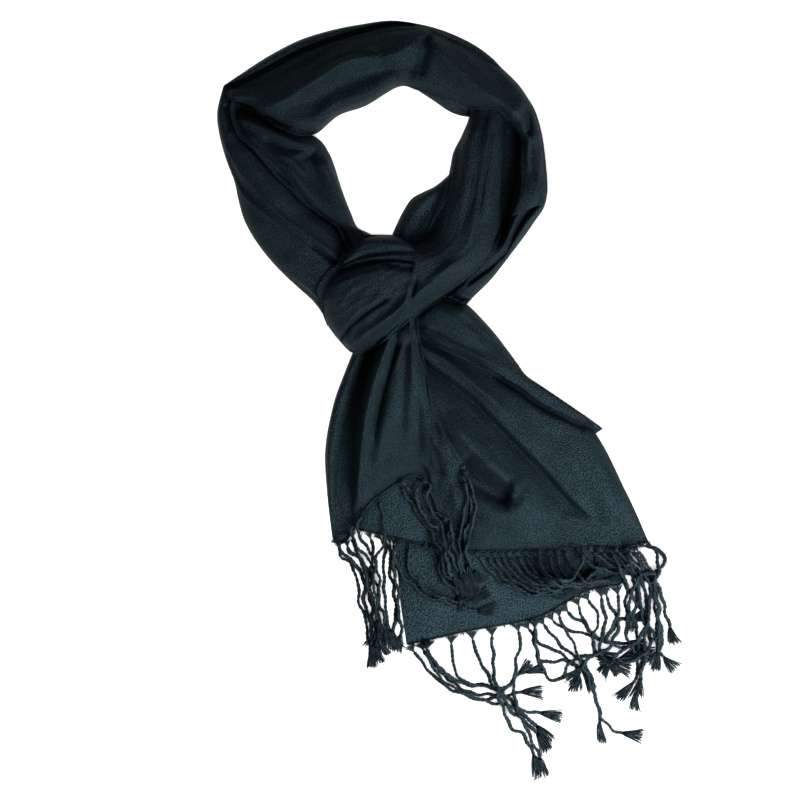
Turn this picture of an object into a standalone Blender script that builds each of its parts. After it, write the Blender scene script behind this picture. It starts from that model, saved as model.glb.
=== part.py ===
"""A fringed stole, doubled, pulled through its own loop and laid flat.

Every stretch of cloth that shows is one closed body: its outline is a short table of sections,
its relief a short table of folds, its underside rests on the ground or on the cloth below it.
Tables are in millimetres, with X to the right, Y towards the back of the neck and Z up.
"""

import math
from collections import namedtuple

import bmesh
import bpy
import numpy as np

MM = 0.001

# Driving sizes, in millimetres
WALL = 1.6               # thinnest cloth at an edge
SEAM_GAP = 0.3           # clear space between two pieces that touch
STRIP_WIDTH = 2.4        # backing strip that holds the roots of a fringe
STRIP_HEIGHT = 1.6
STRAND_WIDTH = 2.2       # one tassel of the fringe
STRAND_HEIGHT = 1.5
TUFT_SPREAD = 1.6        # how much a tassel widens at its frayed end
STRAND_SPANS = 7         # straight spans in one tassel
ROOT_GAP = 0.8           # least length of strip between two roots
STRIP_END = 0.5          # strip left beyond the last root
HEM_POINTS = 41          # points along a hem
HEM_REACH = 3            # length of hem on each side from which its direction is taken
FLOOR_CLEARANCE = 0.3    # strands end just above the ground
FOLD_DEPTH = 8           # cloth thinner than this takes its folds in part
EDGE_BLEND = 1.0         # softness where a stretch thins out to its wall
CLOSER_EDGES = 0.6       # share by which the lines across a stretch crowd towards its edges
SETTLING_ROUNDS = 40     # times the underside of a stretch is lifted clear, a little each time
FOLD_STATIONS = 33       # points at which the nearest place on a fold is looked up
SPAN_STATIONS = 24       # points at which the cloth below a span of a tassel is looked up
SHARP_ANGLE = 50         # degrees beyond which an edge is shaded sharp

# Height map of all cloth laid so far, one cell to a millimetre
FIELD_X0, FIELD_Y0 = -200, -320
FIELD_WIDTH, FIELD_LENGTH = 401, 641

Section = namedtuple("Section", "left_x left_y right_x right_y crown")
Line = namedtuple("Line", "points")
Fold = namedtuple("Fold", "x0 y0 x1 y1 x2 y2 rise left right fade_in fade_out")
Strand = namedtuple("Strand", "root_x root_y x1 y1 x2 y2 tip_x tip_y count")

# ---------------------------------------------------------------- sections of the stretches
# left and right are the two edges of the stretch, crown its height above the ground

NECK_BACK = [
    Section(-179, 246, -177, 240, 13),
    Section(-160, 253, -158, 234, 21),
    Section(-140, 263, -134, 216, 26),
    Section(-118, 275, -110, 210.5, 28),
    Section(-95, 284, -88, 227, 28),
    Section(-70, 291.5, -66, 235, 28),
    Section(-45, 297, -40, 250, 27),
    Section(-20, 297, -25, 247, 27),
    Section(5, 288, -8, 240.5, 27),
    Section(25, 277, 8, 236, 28),
    Section(42, 265, 20, 231.5, 29),
    Section(55, 253, 36, 231, 30),
    Section(64, 240, 46, 224, 30),
    Section(70, 228, 53, 215, 29),
    Section(74, 213, 58.5, 206, 27),
    Section(76.5, 199, 57.5, 196, 25),
    Section(78, 184, 57, 183, 24),
    Section(78.8, 171, 58, 173, 23),
]
NECK_BACK_UNDER = [
    Section(-180, 251, -170, 244, 8),
    Section(-165, 261, -152, 244, 12),
    Section(-145, 274, -128, 245, 14),
    Section(-120, 287, -100, 250, 15),
    Section(-95, 295, -80, 255, 15),
    Section(-70, 300, -60, 262, 15),
    Section(-45, 303, -42, 262, 15),
    Section(-20, 299.5, -26, 248.5, 15),
    Section(0, 293.5, -12, 239, 15),
    Section(20, 284, 0, 230.8, 14),
    Section(35, 273, 9, 227.2, 13),
    Section(45, 262, 17, 226, 11),
]
NECK_RIGHT_OUTER = [
    Section(65, 238, 40, 226, 13),
    Section(71, 226, 38, 214, 16),
    Section(75, 211, 38, 203, 18),
    Section(77, 196, 38, 193, 20),
    Section(78, 182, 38, 180, 20),
    Section(79, 167, 37, 169, 21),
    Section(76.5, 154, 36, 157, 21),
    Section(69, 142.5, 35, 146, 20),
    Section(61, 131, 33, 134, 18),
    Section(52, 119, 30, 121, 17),
    Section(44, 108.5, 24, 110, 16),
    Section(34, 96, 16, 100.5, 15),
    Section(24, 86, 6, 92, 14),
    Section(14, 76, -2, 83, 12),
]
KNOT_WRAP = [
    Section(16, 244, 47, 236, 15),
    Section(17, 228, 46, 222, 19),
    Section(11, 212, 45, 208, 23),
    Section(4, 198, 44, 194, 25),
    Section(1.5, 186, 43.5, 181, 26),
    Section(-1, 174, 43, 167, 27),
    Section(-7, 158, 42.5, 152, 28),
    Section(-14, 143, 41.5, 137, 30),
    Section(-22, 129, 38.5, 122.5, 34),
    Section(-36, 121, 30.5, 110, 39),
    Section(-52, 120, 19.5, 99.5, 43),
    Section(-68, 117, 7, 90, 45),
    Section(-85, 110, -6, 80, 46),
    Section(-99, 99, -20, 70, 45),
    Section(-105, 86, -34, 60, 42),
    Section(-102, 74, -46, 50, 37),
    Section(-98, 62, -56, 43.5, 31),
    Section(-91, 51.5, -66, 38.5, 24),
    Section(-82, 41, -74, 35.5, 15),
]
NECK_RIGHT_UNDER = [
    Section(3, 182, 22, 172, 10),
    Section(-10, 171, 14, 160, 14),
    Section(-21, 165.5, 8, 150, 16),
    Section(-29.5, 160.5, 2, 140, 16),
    Section(-36, 151, -4, 130, 16),
    Section(-41, 141, -8, 122, 16),
    Section(-45.5, 130.5, -12, 114, 15),
    Section(-50, 118, -20, 104, 12),
]
NECK_LEFT_OUTER = [
    Line([(-180, 250), (-183.5, 238), (-185, 226), (-183, 211), (-179.5, 197.5), (-176, 187),
          (-171, 174), (-168, 160), (-163.5, 144), (-155.5, 129), (-144.5, 114), (-131.5, 100),
          (-119, 88.5), (-109, 79.5)]),
    Line([(-176, 249), (-177.5, 237), (-178, 224), (-171.5, 209), (-163, 197), (-155.5, 186),
          (-147.5, 173.5), (-140, 160), (-133, 146.5), (-123, 134.5), (-112, 122), (-104, 111),
          (-99.5, 103.5), (-97, 97)]),
    Line([(-172, 248), (-172, 236), (-171, 222), (-160, 207), (-147, 197), (-135, 185),
          (-124, 173), (-112, 160), (-103, 149), (-90, 140), (-80, 130), (-75, 121),
          (-75, 114), (-79, 107.5)]),
]
NECK_LEFT_OUTER_CROWN = [5, 10, 15, 18, 21, 23, 24, 25, 26, 27, 27, 27, 27, 26]
NECK_LEFT = [
    Section(-174, 240, -150, 234, 5),
    Section(-174.5, 228, -122, 217, 17),
    Section(-169, 211, -104, 208.5, 23),
    Section(-158, 201, -95.5, 197, 26),
    Section(-148, 190, -91, 186, 28),
    Section(-138, 178, -87, 173, 28),
    Section(-127, 168, -82.5, 160, 27),
    Section(-117, 158, -78, 149, 26),
    Section(-104, 149, -73, 138, 25),
    Section(-90, 139, -64, 133, 24),
    Section(-84, 127, -56, 128, 23),
    Section(-79, 116, -51, 119, 22),
]
KNOT_COLLAR = [
    Section(-85, 112, -87, 104, 33),
    Section(-77, 121, -78, 107.5, 37),
    Section(-68, 130, -68, 110, 39),
    Section(-58, 131.5, -56, 112, 41),
    Section(-46, 131.5, -43, 112.8, 42),
    Section(-36, 128, -31, 113, 42),
    Section(-27, 122, -21, 112, 41),
]
TAIL_LEFT = [
    Line([(-72, 50), (-82, 24), (-92, -4), (-98.5, -40), (-97, -75), (-93, -110)]),
    Line([(-58, 52), (-66, 24), (-74, -4), (-81, -36), (-82, -70), (-82, -114)]),
    Line([(-50, 54), (-54, 26), (-60, -2), (-66, -32), (-66, -58), (-67, -88)]),
    Line([(-42, 55), (-42, 26), (-44, -2), (-46, -28), (-47, -50), (-50, -73)]),
    Line([(-33, 55), (-30, 26), (-27, -2), (-25, -24), (-23, -42), (-22, -60)]),
    Line([(-28, 55), (-25, 27), (-20, 0), (-13, -28), (-8, -58), (-9, -91)]),
    Line([(-24, 55), (-18.5, 28), (-13, 2), (-2, -28), (16, -62), (13, -112)]),
]
TAIL_LEFT_CROWN = [20, 24, 22, 18, 13, 9]
TAIL_LEFT_UNDER = [
    Section(-64, -10, 2, -6, 6),
    Section(-67, -50, 6, -50, 5.5),
    Section(-70, -84, 8, -94, 5),
    Section(-72, -104, 10, -122, 4.6),
]
TAIL_RIGHT = [
    Line([(-46, 61), (-34, 22), (-22, -18), (-6, -60), (8, -98), (13, -121.5)]),
    Line([(-40, 63), (-20, 19), (0, -15), (22, -52), (46, -88), (58, -120.5)]),
    Line([(-33, 66), (-4, 16), (22, -6), (57, -41), (90, -73), (105, -118)]),
    Line([(-18, 74), (12, 38), (46, 13), (82, -12), (120, -60), (136, -118)]),
    Line([(3, 85), (30, 51), (60, 19), (112, -20), (142, -74), (160, -114)]),
]
TAIL_RIGHT_CROWN = [14, 20, 20, 18, 13, 8]
TAIL_RIGHT_EDGE = [
    Section(-10, 84, -32, 61, 17),
    Section(2, 80, -20, 54, 22),
    Section(15, 75.5, -5, 47, 24),
    Section(28, 63, 10, 38.5, 23),
    Section(38, 51.6, 24, 31, 21),
    Section(47, 39.6, 36, 23, 19),
    Section(55.5, 27.6, 48, 15.5, 18),
    Section(62, 19, 59, 9, 17),
    Section(76, 9.5, 70, 0.5, 16),
    Section(90, 0, 84, -7.5, 15),
    Section(104, -9.5, 99, -14.5, 14),
    Section(117, -18.5, 112, -21.5, 13),
    Section(121.5, -24.5, 118.5, -26.5, 12),
]
UNDER_PANEL = [
    Line([(-44, -95), (-42, -122), (-38.5, -160), (-33.5, -196)]),
    Line([(20, -95), (20, -125), (20, -158), (20, -184)]),
    Line([(70, -95), (70, -125), (70, -150), (71, -174)]),
    Line([(110, -95), (110, -118), (110, -136), (109, -153.5)]),
    Line([(150, -98), (147, -115), (143, -132), (138, -148)]),
]
UNDER_PANEL_CROWN = [3, 3, 3, 2.6]

# ---------------------------------------------------------------- folds
# A fold is a curve through three points; rise is its height (a trough is negative), left and
# right its reach on each side, fade_in and fade_out the shares of its length where it dies away

NECK_BACK_FOLDS = [
    Fold(-178, 244, -140, 233, -112, 254, 5, 9, 7, 0.1, 0.3),
    Fold(-118, 246, -92, 276, -50, 276, 4.5, 8, 12, 0.3, 0.3),
    Fold(-60, 277, -36, 278, -14, 295, 4, 7, 8, 0.3, 0.1),
    Fold(-165, 251, -130, 262, -85, 284, -4, 6, 9, 0.2, 0.3),
    Fold(-100, 258, -70, 262, -38, 258, -3.5, 12, 12, 0.3, 0.3),
    Fold(-11, 293, -8, 276, -18, 247, -5, 5, 6, 0.1, 0.2),
    Fold(-4, 290, 8, 266, 26, 243, 4.5, 7, 9, 0.2, 0.3),
    Fold(26, 243, 42, 233, 56, 218, 3, 6, 5, 0.3, 0.1),
    Fold(61, 230, 63, 218, 61, 208, -5, 3, 3, 0.2, 0.1),
    Fold(-55, 239, -44, 252, -40, 262, -3, 4, 5, 0.1, 0.3),
]
NECK_RIGHT_OUTER_FOLDS = [
    Fold(43, 226, 46, 176, 34, 118, -18, 9, 9, 0.02, 0.2),
    Fold(63, 205, 61, 175, 49, 148, 4, 5, 5, 0.2, 0.2),
    Fold(75, 166, 60, 150, 52, 126, -9, 5, 5, 0.2, 0.3),
    Fold(78, 160, 65, 137, 46, 112, 2.5, 3, 4, 0.2, 0.3),
    Fold(50, 118, 38, 108, 24, 98, -3, 3, 4, 0.2, 0.3),
]
KNOT_WRAP_FOLDS = [
    Fold(34, 228, 27, 180, 14, 128, 3.5, 6, 5, 0.2, 0.4),
    Fold(32, 215, 29, 185, 23, 150, -3.5, 3, 4, 0.2, 0.3),
    Fold(14, 224, 8, 190, 2, 160, -2.5, 6, 6, 0.2, 0.3),
    Fold(-10, 108, -34, 84, -76, 48, 5, 8, 6, 0.2, 0.2),
    Fold(-48, 82, -66, 68, -85, 44, -7, 5, 5, 0.25, 0.1),
    Fold(-26, 95, -31, 80, -42, 65, -2.5, 2.5, 2.5, 0.2, 0.3),
    Fold(4, 93, -20, 76, -52, 54, 3, 6, 5, 0.3, 0.3),
    Fold(-94, 92, -66, 102, -34, 106, -4.5, 6, 5, 0.2, 0.2),
]
NECK_LEFT_OUTER_FOLDS = [
    Fold(-180, 196, -160, 166, -134, 141, 2.2, 6, 2, 0.2, 0.3),
    Fold(-172, 178, -158, 158, -140, 141, -2.4, 3, 3, 0.2, 0.3),
    Fold(-138, 160, -112, 133, -88, 110, 4.5, 9, 6, 0.3, 0.2),
    Fold(-114, 124, -100, 115, -89, 107, -4, 4, 4, 0.2, 0.2),
    Fold(-119, 92, -112, 88, -106, 84, -3, 3, 3, 0.2, 0.2),
]
NECK_LEFT_FOLDS = [
    Fold(-172, 232, -150, 226, -128, 214, -5, 6, 5, 0.2, 0.2),
    Fold(-162, 210, -140, 188, -112, 160, 4.5, 7, 6, 0.2, 0.3),
    Fold(-140, 197, -118, 197, -104, 196, -3, 5, 5, 0.3, 0.3),
    Fold(-104, 192, -98, 165, -84, 146, -4, 7, 7, 0.2, 0.3),
    Fold(-112, 150, -96, 145, -78, 142, -4, 5, 5, 0.3, 0.3),
    Fold(-84, 136, -74, 129, -66, 125, -4, 5, 5, 0.3, 0.3),
]
KNOT_COLLAR_FOLDS = [
    Fold(-84, 106, -60, 113, -34, 114, 1.6, 3, 2, 0.1, 0.2),
]
TAIL_LEFT_FOLDS = [
    Fold(-60, 48, -77, -2, -81, -108, -20, 7.5, 7.5, 0.02, 0.12),
    Fold(-80, 30, -92, -10, -92, -100, 2.5, 6, 5, 0.1, 0.2),
    Fold(-52, 42, -68, -20, -71, -86, 4, 4, 4, 0.1, 0.2),
    Fold(-42, 40, -56, -4, -65, -70, -5, 4, 4, 0.1, 0.3),
    Fold(-40, 30, -36, -10, -32, -48, -2.5, 7, 7, 0.3, 0.3),
    Fold(-48, 16, -54, -20, -56, -66, 2, 7, 7, 0.3, 0.3),
    Fold(-30, 46, -21, 10, -15, -22, 2, 6, 4, 0.2, 0.4),
    Fold(-22, -52, -20, -66, -16, -78, -2.5, 4, 4, 0.2, 0.3),
]
TAIL_RIGHT_FOLDS = [
    Fold(-20, 54, 22, 30, 74, -4, -8, 5, 9, 0.05, 0.3),
    Fold(-26, 43, 18, 9, 60, -34, 3, 7, 5, 0.1, 0.3),
    Fold(-32, 44, 24, -8, 104, -96, -10, 6, 9, 0.05, 0.2),
    Fold(-12, -12, 20, -42, 54, -70, 4.5, 8, 6, 0.2, 0.1),
    Fold(8, -76, 32, -77, 54, -75, -11, 6, 10, 0.05, 0.12),
    Fold(100, -80, 106, -98, 106, -114, -3, 6, 6, 0.2, 0.1),
    Fold(112, -92, 128, -104, 142, -116, -3, 6, 5, 0.2, 0.2),
]
TAIL_RIGHT_EDGE_FOLDS = [
    Fold(-28, 58, 10, 42, 56, 14, 3, 6, 2, 0.1, 0.3),
    Fold(14, 60, 36, 44, 50, 30, -2, 6, 6, 0.3, 0.3),
]
UNDER_PANEL_FOLDS = [
    Fold(-10, -164, 10, -169, 38, -171, 1.2, 4, 2, 0.2, 0.2),
    Fold(50, -158, 80, -158, 104, -146, 1.2, 5, 4, 0.3, 0.3),
]

# ---------------------------------------------------------------- fringe
# Each row is a run of tassels between this guide and the next one: count of tassels from here on

FRINGE_LEFT = [
    Strand(-93, -113, -84, -130, -72, -158, -64, -213, 2),
    Strand(-82, -113, -68, -132, -62, -164, -56, -213, 1),
    Strand(-76, -104, -70, -124, -60, -160, -50, -210, 2),
    Strand(-54, -77, -52, -108, -59, -138, -54, -192, 1),
    Strand(-37, -70, -27, -92, -9, -120, 5, -156, 2),
    Strand(-15, -76, -17, -94, -5, -118, 10, -152, 1),
    Strand(-4, -102, -6, -114, 4, -130, 15, -152, 1),
    Strand(9, -115, 13, -126, 18, -138, 24, -152, 1),
]
FRINGE_SECOND = [
    Strand(-64, -108, -61, -130, -60, -164, -50, -206, 2),
    Strand(-52, -110, -47, -134, -43, -164, -38, -203, 2),
    Strand(-44, -112, -37, -140, -12, -158, 36, -169, 2),
    Strand(-30, -114, -31, -138, -10, -156, 26, -162, 1),
    Strand(-20, -116, -10, -132, -2, -146, 12, -160, 2),
    Strand(-8, -120, 0, -134, 8, -146, 20, -158, 1),
]
FRINGE_RIGHT = [
    Strand(22, -123, 38, -142, 68, -156, 104, -153, 4),
    Strand(47, -122, 62, -142, 86, -151, 112, -142, 4),
    Strand(70, -120, 78, -140, 100, -150, 121, -130, 2),
    Strand(86, -117, 92, -140, 110, -146, 124, -128, 2),
    Strand(100, -118, 104, -134, 118, -146, 140, -148, 1),
    Strand(109, -119, 118, -138, 132, -152, 152, -160, 1),
    Strand(120, -119, 142, -148, 142, -182, 140, -246, 2),
    Strand(130, -119, 150, -152, 152, -196, 134, -247, 2),
    Strand(140, -119, 160, -148, 158, -194, 132, -214, 2),
    Strand(148, -118, 166, -148, 166, -192, 168, -222, 2),
    Strand(154, -118, 170, -150, 176, -176, 179, -200, 1),
    Strand(158, -117, 167, -140, 167, -176, 177, -222, 1),
]
FRINGE_UNDER = [
    Strand(-30, -196, -12, -222, 30, -242, 76, -240, 2),
    Strand(-18, -192, -4, -220, 38, -240, 86, -256, 2),
    Strand(2, -189, 8, -220, 44, -230, 74, -219, 1),
    Strand(18, -187, 30, -218, 52, -248, 84, -278, 1),
    Strand(36, -185, 36, -218, 50, -260, 80, -298, 1),
    Strand(55, -182, 52, -224, 60, -256, 84, -296, 1),
    Strand(62, -180, 65, -202, 88, -210, 110, -230, 1),
    Strand(69, -179, 82, -198, 101, -208, 104, -230, 1),
    Strand(75, -176, 90, -200, 116, -234, 123, -272, 1),
    Strand(81, -172, 93, -190, 120, -196, 156, -194, 1),
    Strand(88, -168, 101, -190, 118, -240, 146, -264, 1),
    Strand(95, -163, 110, -182, 122, -190, 146, -178, 1),
    Strand(103, -160, 113, -184, 122, -206, 137, -222, 1),
    Strand(110, -157, 120, -178, 118, -202, 148, -208, 1),
    Strand(119, -154, 125, -178, 122, -202, 132, -220, 1),
    Strand(127, -153, 130, -178, 124, -204, 104, -230, 1),
    Strand(134, -152, 137, -174, 134, -192, 156, -200, 1),
]

# Cloth and its colours: near black with a cold cast
Shade = namedtuple("Shade", "red green blue roughness")
SHADES = {
    "cloth": Shade(0.016, 0.021, 0.026, 0.72),
    "under": Shade(0.012, 0.016, 0.020, 0.78),
    "fringe": Shade(0.022, 0.028, 0.034, 0.66),
}


# ---------------------------------------------------------------- curves and nets
def smooth_through(points, places):
    """Values of a smooth curve through the points, at places counted in points from 0."""
    points = np.asarray(points, dtype=float)
    last = len(points) - 1
    first = np.clip(np.floor(places).astype(int), 0, last - 1)
    share = (places - first)[:, None]
    before = np.where(first[:, None] > 0, points[np.maximum(first - 1, 0)], 2 * points[0] - points[1])
    after = np.where(first[:, None] + 2 <= last,
                     points[np.minimum(first + 2, last)], 2 * points[last] - points[last - 1])
    start = points[first]
    end = points[first + 1]
    bend = 2 * before - 5 * start + 4 * end - after
    twist = 3 * start - 3 * end + after - before
    return start + 0.5 * share * ((end - before) + share * (bend + share * twist))


def even_places(points, count):
    """Places along a smooth curve that are evenly spaced by length."""
    fine = np.linspace(0, len(points) - 1, 40 * len(points))
    track = smooth_through(points, fine)
    steps = np.linalg.norm(np.diff(track, axis=0), axis=1)
    length = np.concatenate([[0], np.cumsum(steps)])
    return np.interp(np.linspace(0, length[-1], count), length, fine)


def edge_lines(table):
    """The two edges of a table of sections, or the lines of a net, as arrays of points."""
    if isinstance(table[0], Line):
        return [np.array(line.points, dtype=float) for line in table]
    left = np.array([(row.left_x, row.left_y) for row in table], dtype=float)
    right = np.array([(row.right_x, row.right_y) for row in table], dtype=float)
    return [left, right]


def plan_grid(lines, across, along):
    """Plan positions of a stretch as an array of along x across points, and its places."""
    middle = sum(lines) / len(lines)
    places = even_places(middle, along)
    tracks = np.array([smooth_through(line, places) for line in lines])
    even = np.linspace(0, 1, across)
    crowded = (1 - np.cos(math.pi * even)) / 2
    shares = CLOSER_EDGES * crowded + (1 - CLOSER_EDGES) * even
    if len(lines) == 2:
        grid = tracks[0][:, None] * (1 - shares)[None, :, None]
        grid = grid + tracks[1][:, None] * shares[None, :, None]
    else:
        columns = shares * (len(lines) - 1)
        grid = np.array([smooth_through(tracks[:, row], columns) for row in range(along)])
    return grid, places, shares


def fold_relief(folds, plan):
    """Height that the folds add at each plan point."""
    spots = plan.reshape(-1, 2)
    relief = np.zeros(len(spots))
    steps = np.linspace(0, 1, FOLD_STATIONS)
    for fold in folds:
        start = np.array([fold.x0, fold.y0])
        end = np.array([fold.x2, fold.y2])
        middle = np.array([fold.x1, fold.y1])
        pull = 2 * middle - 0.5 * (start + end)
        ease = steps[:, None]
        track = start * (1 - ease) ** 2 + 2 * pull * ease * (1 - ease) + end * ease ** 2
        heading = np.gradient(track, axis=0)
        away = spots[:, None] - track[None]
        nearest = np.argmin((away ** 2).sum(axis=2), axis=1)
        offset = away[np.arange(len(spots)), nearest]
        course = heading[nearest] / np.linalg.norm(heading[nearest], axis=1)[:, None]
        side = course[:, 0] * offset[:, 1] - course[:, 1] * offset[:, 0]
        distance = np.linalg.norm(offset, axis=1)
        reach = np.where(side > 0, fold.left, fold.right)
        place = steps[nearest]
        swell = np.clip(place / max(fold.fade_in, 0.001), 0, 1)
        swell = swell * np.clip((1 - place) / max(fold.fade_out, 0.001), 0, 1)
        swell = swell * swell * (3 - 2 * swell)
        relief += fold.rise * swell * np.exp(-(distance / reach) ** 2)
    return relief.reshape(plan.shape[:2])


# ---------------------------------------------------------------- height map of the cloth below
class HeightField:
    """Highest cloth over each square millimetre of the ground."""

    def __init__(self):
        self.top = np.zeros((FIELD_WIDTH, FIELD_LENGTH))

    def cells_in(self, corners):
        """Cells of the field inside a triangle, and each cell's shares of its three corners."""
        low = np.floor(corners.min(axis=0)).astype(int)
        high = np.ceil(corners.max(axis=0)).astype(int)
        xs, ys = np.meshgrid(np.arange(low[0], high[0] + 1), np.arange(low[1], high[1] + 1),
                             indexing="ij")
        (ax, ay), (bx, by), (cx, cy) = corners
        area = (bx - ax) * (cy - ay) - (by - ay) * (cx - ax)
        if abs(area) < 1e-6:
            return np.zeros((0, 2), dtype=int), np.zeros((0, 3))
        share_b = ((xs - ax) * (cy - ay) - (ys - ay) * (cx - ax)) / area
        share_c = ((bx - ax) * (ys - ay) - (by - ay) * (xs - ax)) / area
        inside = (share_b >= -0.001) & (share_c >= -0.001) & (share_b + share_c <= 1.001)
        shares = np.stack([1 - share_b - share_c, share_b, share_c], axis=-1)
        cells = np.stack([xs - FIELD_X0, ys - FIELD_Y0], axis=-1)
        return cells[inside], shares[inside]

    def add_triangle(self, corners):
        cells, shares = self.cells_in(corners[:, :2])
        np.maximum.at(self.top, (cells[:, 0], cells[:, 1]), shares @ corners[:, 2])

    def add_mesh(self, mesh):
        for face in mesh.faces:
            corners = np.array([vert.co for vert in face.verts]) / MM
            for turn in range(1, len(corners) - 1):
                self.add_triangle(corners[[0, turn, turn + 1]])
        for vert in mesh.verts:
            x, y, z = np.array(vert.co) / MM
            cell = (round(x) - FIELD_X0, round(y) - FIELD_Y0)
            self.top[cell] = max(self.top[cell], z)

    def widened(self, reach):
        """The field with every height spread out by the reach, as a square brush."""
        wide = self.top.copy()
        for axis in (0, 1):
            spread = wide.copy()
            for shift in range(1, reach + 1):
                np.maximum(spread, np.roll(wide, shift, axis), out=spread)
                np.maximum(spread, np.roll(wide, -shift, axis), out=spread)
            wide = spread
        return wide

    def seat(self, plan):
        """Underside heights that just clear everything below; nothing below gives the ground."""
        wide = self.widened(1)
        rows, columns = plan.shape[:2]
        spots = plan.reshape(-1, 2)
        number = np.arange(rows * columns).reshape(rows, columns)
        quads = np.stack([number[:-1, :-1], number[1:, :-1], number[1:, 1:], number[:-1, 1:]], axis=-1)
        held, shares, wanted = [], [], []
        for quad in quads.reshape(-1, 4):
            for turn in ((0, 1, 2), (0, 2, 3), (1, 2, 3), (0, 1, 3)):
                corners = quad[list(turn)]
                cells, parts = self.cells_in(spots[corners])
                below = wide[cells[:, 0], cells[:, 1]]
                held.append(np.repeat(corners[None], len(cells), axis=0)[below > 0])
                shares.append(parts[below > 0])
                wanted.append(below[below > 0] + SEAM_GAP)
        held, shares, wanted = np.concatenate(held), np.concatenate(shares), np.concatenate(wanted)
        around = self.widened(2)
        here = around[np.rint(spots[:, 0]).astype(int) - FIELD_X0,
                      np.rint(spots[:, 1]).astype(int) - FIELD_Y0]
        base = np.where(here > 0, here + SEAM_GAP, 0.0)
        if len(wanted) == 0:
            return base.reshape(rows, columns)
        pull = shares / (shares ** 2).sum(axis=1)[:, None]
        for settling in range(SETTLING_ROUNDS):
            short = np.clip(wanted - (shares * base[held]).sum(axis=1), 0, None)
            lift = np.zeros(len(base))
            np.maximum.at(lift, held.ravel(), (pull * short[:, None]).ravel())
            base = base + lift
        short = np.clip(wanted - (shares * base[held]).sum(axis=1), 0, None)
        lift = np.zeros(len(base))
        np.maximum.at(lift, held.ravel(), np.repeat(short, 3))
        return (base + lift).reshape(rows, columns)


# ---------------------------------------------------------------- building bodies
def material_for(name, kind):
    shade = SHADES[kind]
    material = bpy.data.materials.new(name + "_" + kind)
    material.use_nodes = True
    shader = material.node_tree.nodes["Principled BSDF"]
    shader.inputs["Base Color"].default_value = (shade.red, shade.green, shade.blue, 1)
    shader.inputs["Roughness"].default_value = shade.roughness
    shader.inputs["Metallic"].default_value = 0.0
    return material


def finish_object(name, mesh, kind, collection):
    bmesh.ops.recalc_face_normals(mesh, faces=mesh.faces)
    data = bpy.data.meshes.new(name)
    mesh.to_mesh(data)
    mesh.free()
    data.shade_smooth()
    data.set_sharp_from_angle(angle=math.radians(SHARP_ANGLE))
    data.materials.append(material_for(name, kind))
    thing = bpy.data.objects.new(name, data)
    collection.objects.link(thing)
    return thing


def crowns(table, places, crown):
    if crown is None:
        crown = [row.crown for row in table]
    return smooth_through(np.array(crown, dtype=float)[:, None], places)[:, 0]


def end_slopes(plan, ends):
    """Share of full height near the two ends of a stretch, rounded over the given lengths."""
    middle = plan.mean(axis=1)
    steps = np.linalg.norm(np.diff(middle, axis=0), axis=1)
    length = np.concatenate([[0], np.cumsum(steps)])
    share = np.ones(len(length))
    for distance, reach in ((length, ends[0]), (length[-1] - length, ends[1])):
        if reach > 0:
            near = np.clip(distance / reach, 0, 1)
            share = share * np.sqrt(np.clip(1 - (1 - near) ** 2, 0, 1))
    return share


def lay_stretch(name, table, folds, field, collection, across=11, along=20,
                crown=None, ends=(0, 0), round_power=2.6, kind="cloth"):
    """One stretch of cloth: a closed body over its plan, seated on what lies below."""
    plan, places, shares = plan_grid(edge_lines(table), across, along)
    bulge = np.clip(1 - np.abs(2 * shares - 1) ** round_power, 0, 1) ** 0.5
    height = crowns(table, places, crown)[:, None] * bulge[None, :]
    height = height * end_slopes(plan, ends)[:, None]
    relief = fold_relief(folds, plan) * np.clip(height / FOLD_DEPTH, 0, 1)
    height = height + relief
    base = field.seat(plan)
    floor = base + WALL + np.maximum(relief, 0)
    top = 0.5 * (floor + height + np.sqrt((height - floor) ** 2 + EDGE_BLEND))

    mesh = bmesh.new()
    bmesh.ops.create_grid(mesh, x_segments=along - 1, y_segments=across - 1, size=1)
    bmesh.ops.triangulate(mesh, faces=mesh.faces[:], quad_method="FIXED")
    upper = sorted(mesh.verts, key=lambda vert: (round(vert.co.x, 5), round(vert.co.y, 5)))
    copies = bmesh.ops.extrude_face_region(mesh, geom=mesh.faces[:], use_keep_orig=True)
    lower = [item for item in copies["geom"] if isinstance(item, bmesh.types.BMVert)]
    lower.sort(key=lambda vert: (round(vert.co.x, 5), round(vert.co.y, 5)))
    flat_plan = plan.reshape(-1, 2)
    for vert, under, (x, y), high, low in zip(upper, lower, flat_plan, top.ravel(), base.ravel()):
        vert.co = (x * MM, y * MM, high * MM)
        under.co = (x * MM, y * MM, low * MM)
    bmesh.ops.triangulate(mesh, faces=mesh.faces[:])
    field.add_mesh(mesh)
    return finish_object(name, mesh, kind, collection)


# ---------------------------------------------------------------- fringe
def spread_strands(guides):
    """All tassels of a fringe: the guides, and between two guides as many as the count says."""
    table = np.array([guide[:8] for guide in guides], dtype=float)
    strands = []
    for number, guide in enumerate(guides):
        following = table[min(number + 1, len(guides) - 1)]
        for turn in range(guide.count):
            share = turn / guide.count
            strands.append(table[number] * (1 - share) + following * share)
    return np.array(strands).reshape(-1, 4, 2)


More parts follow.
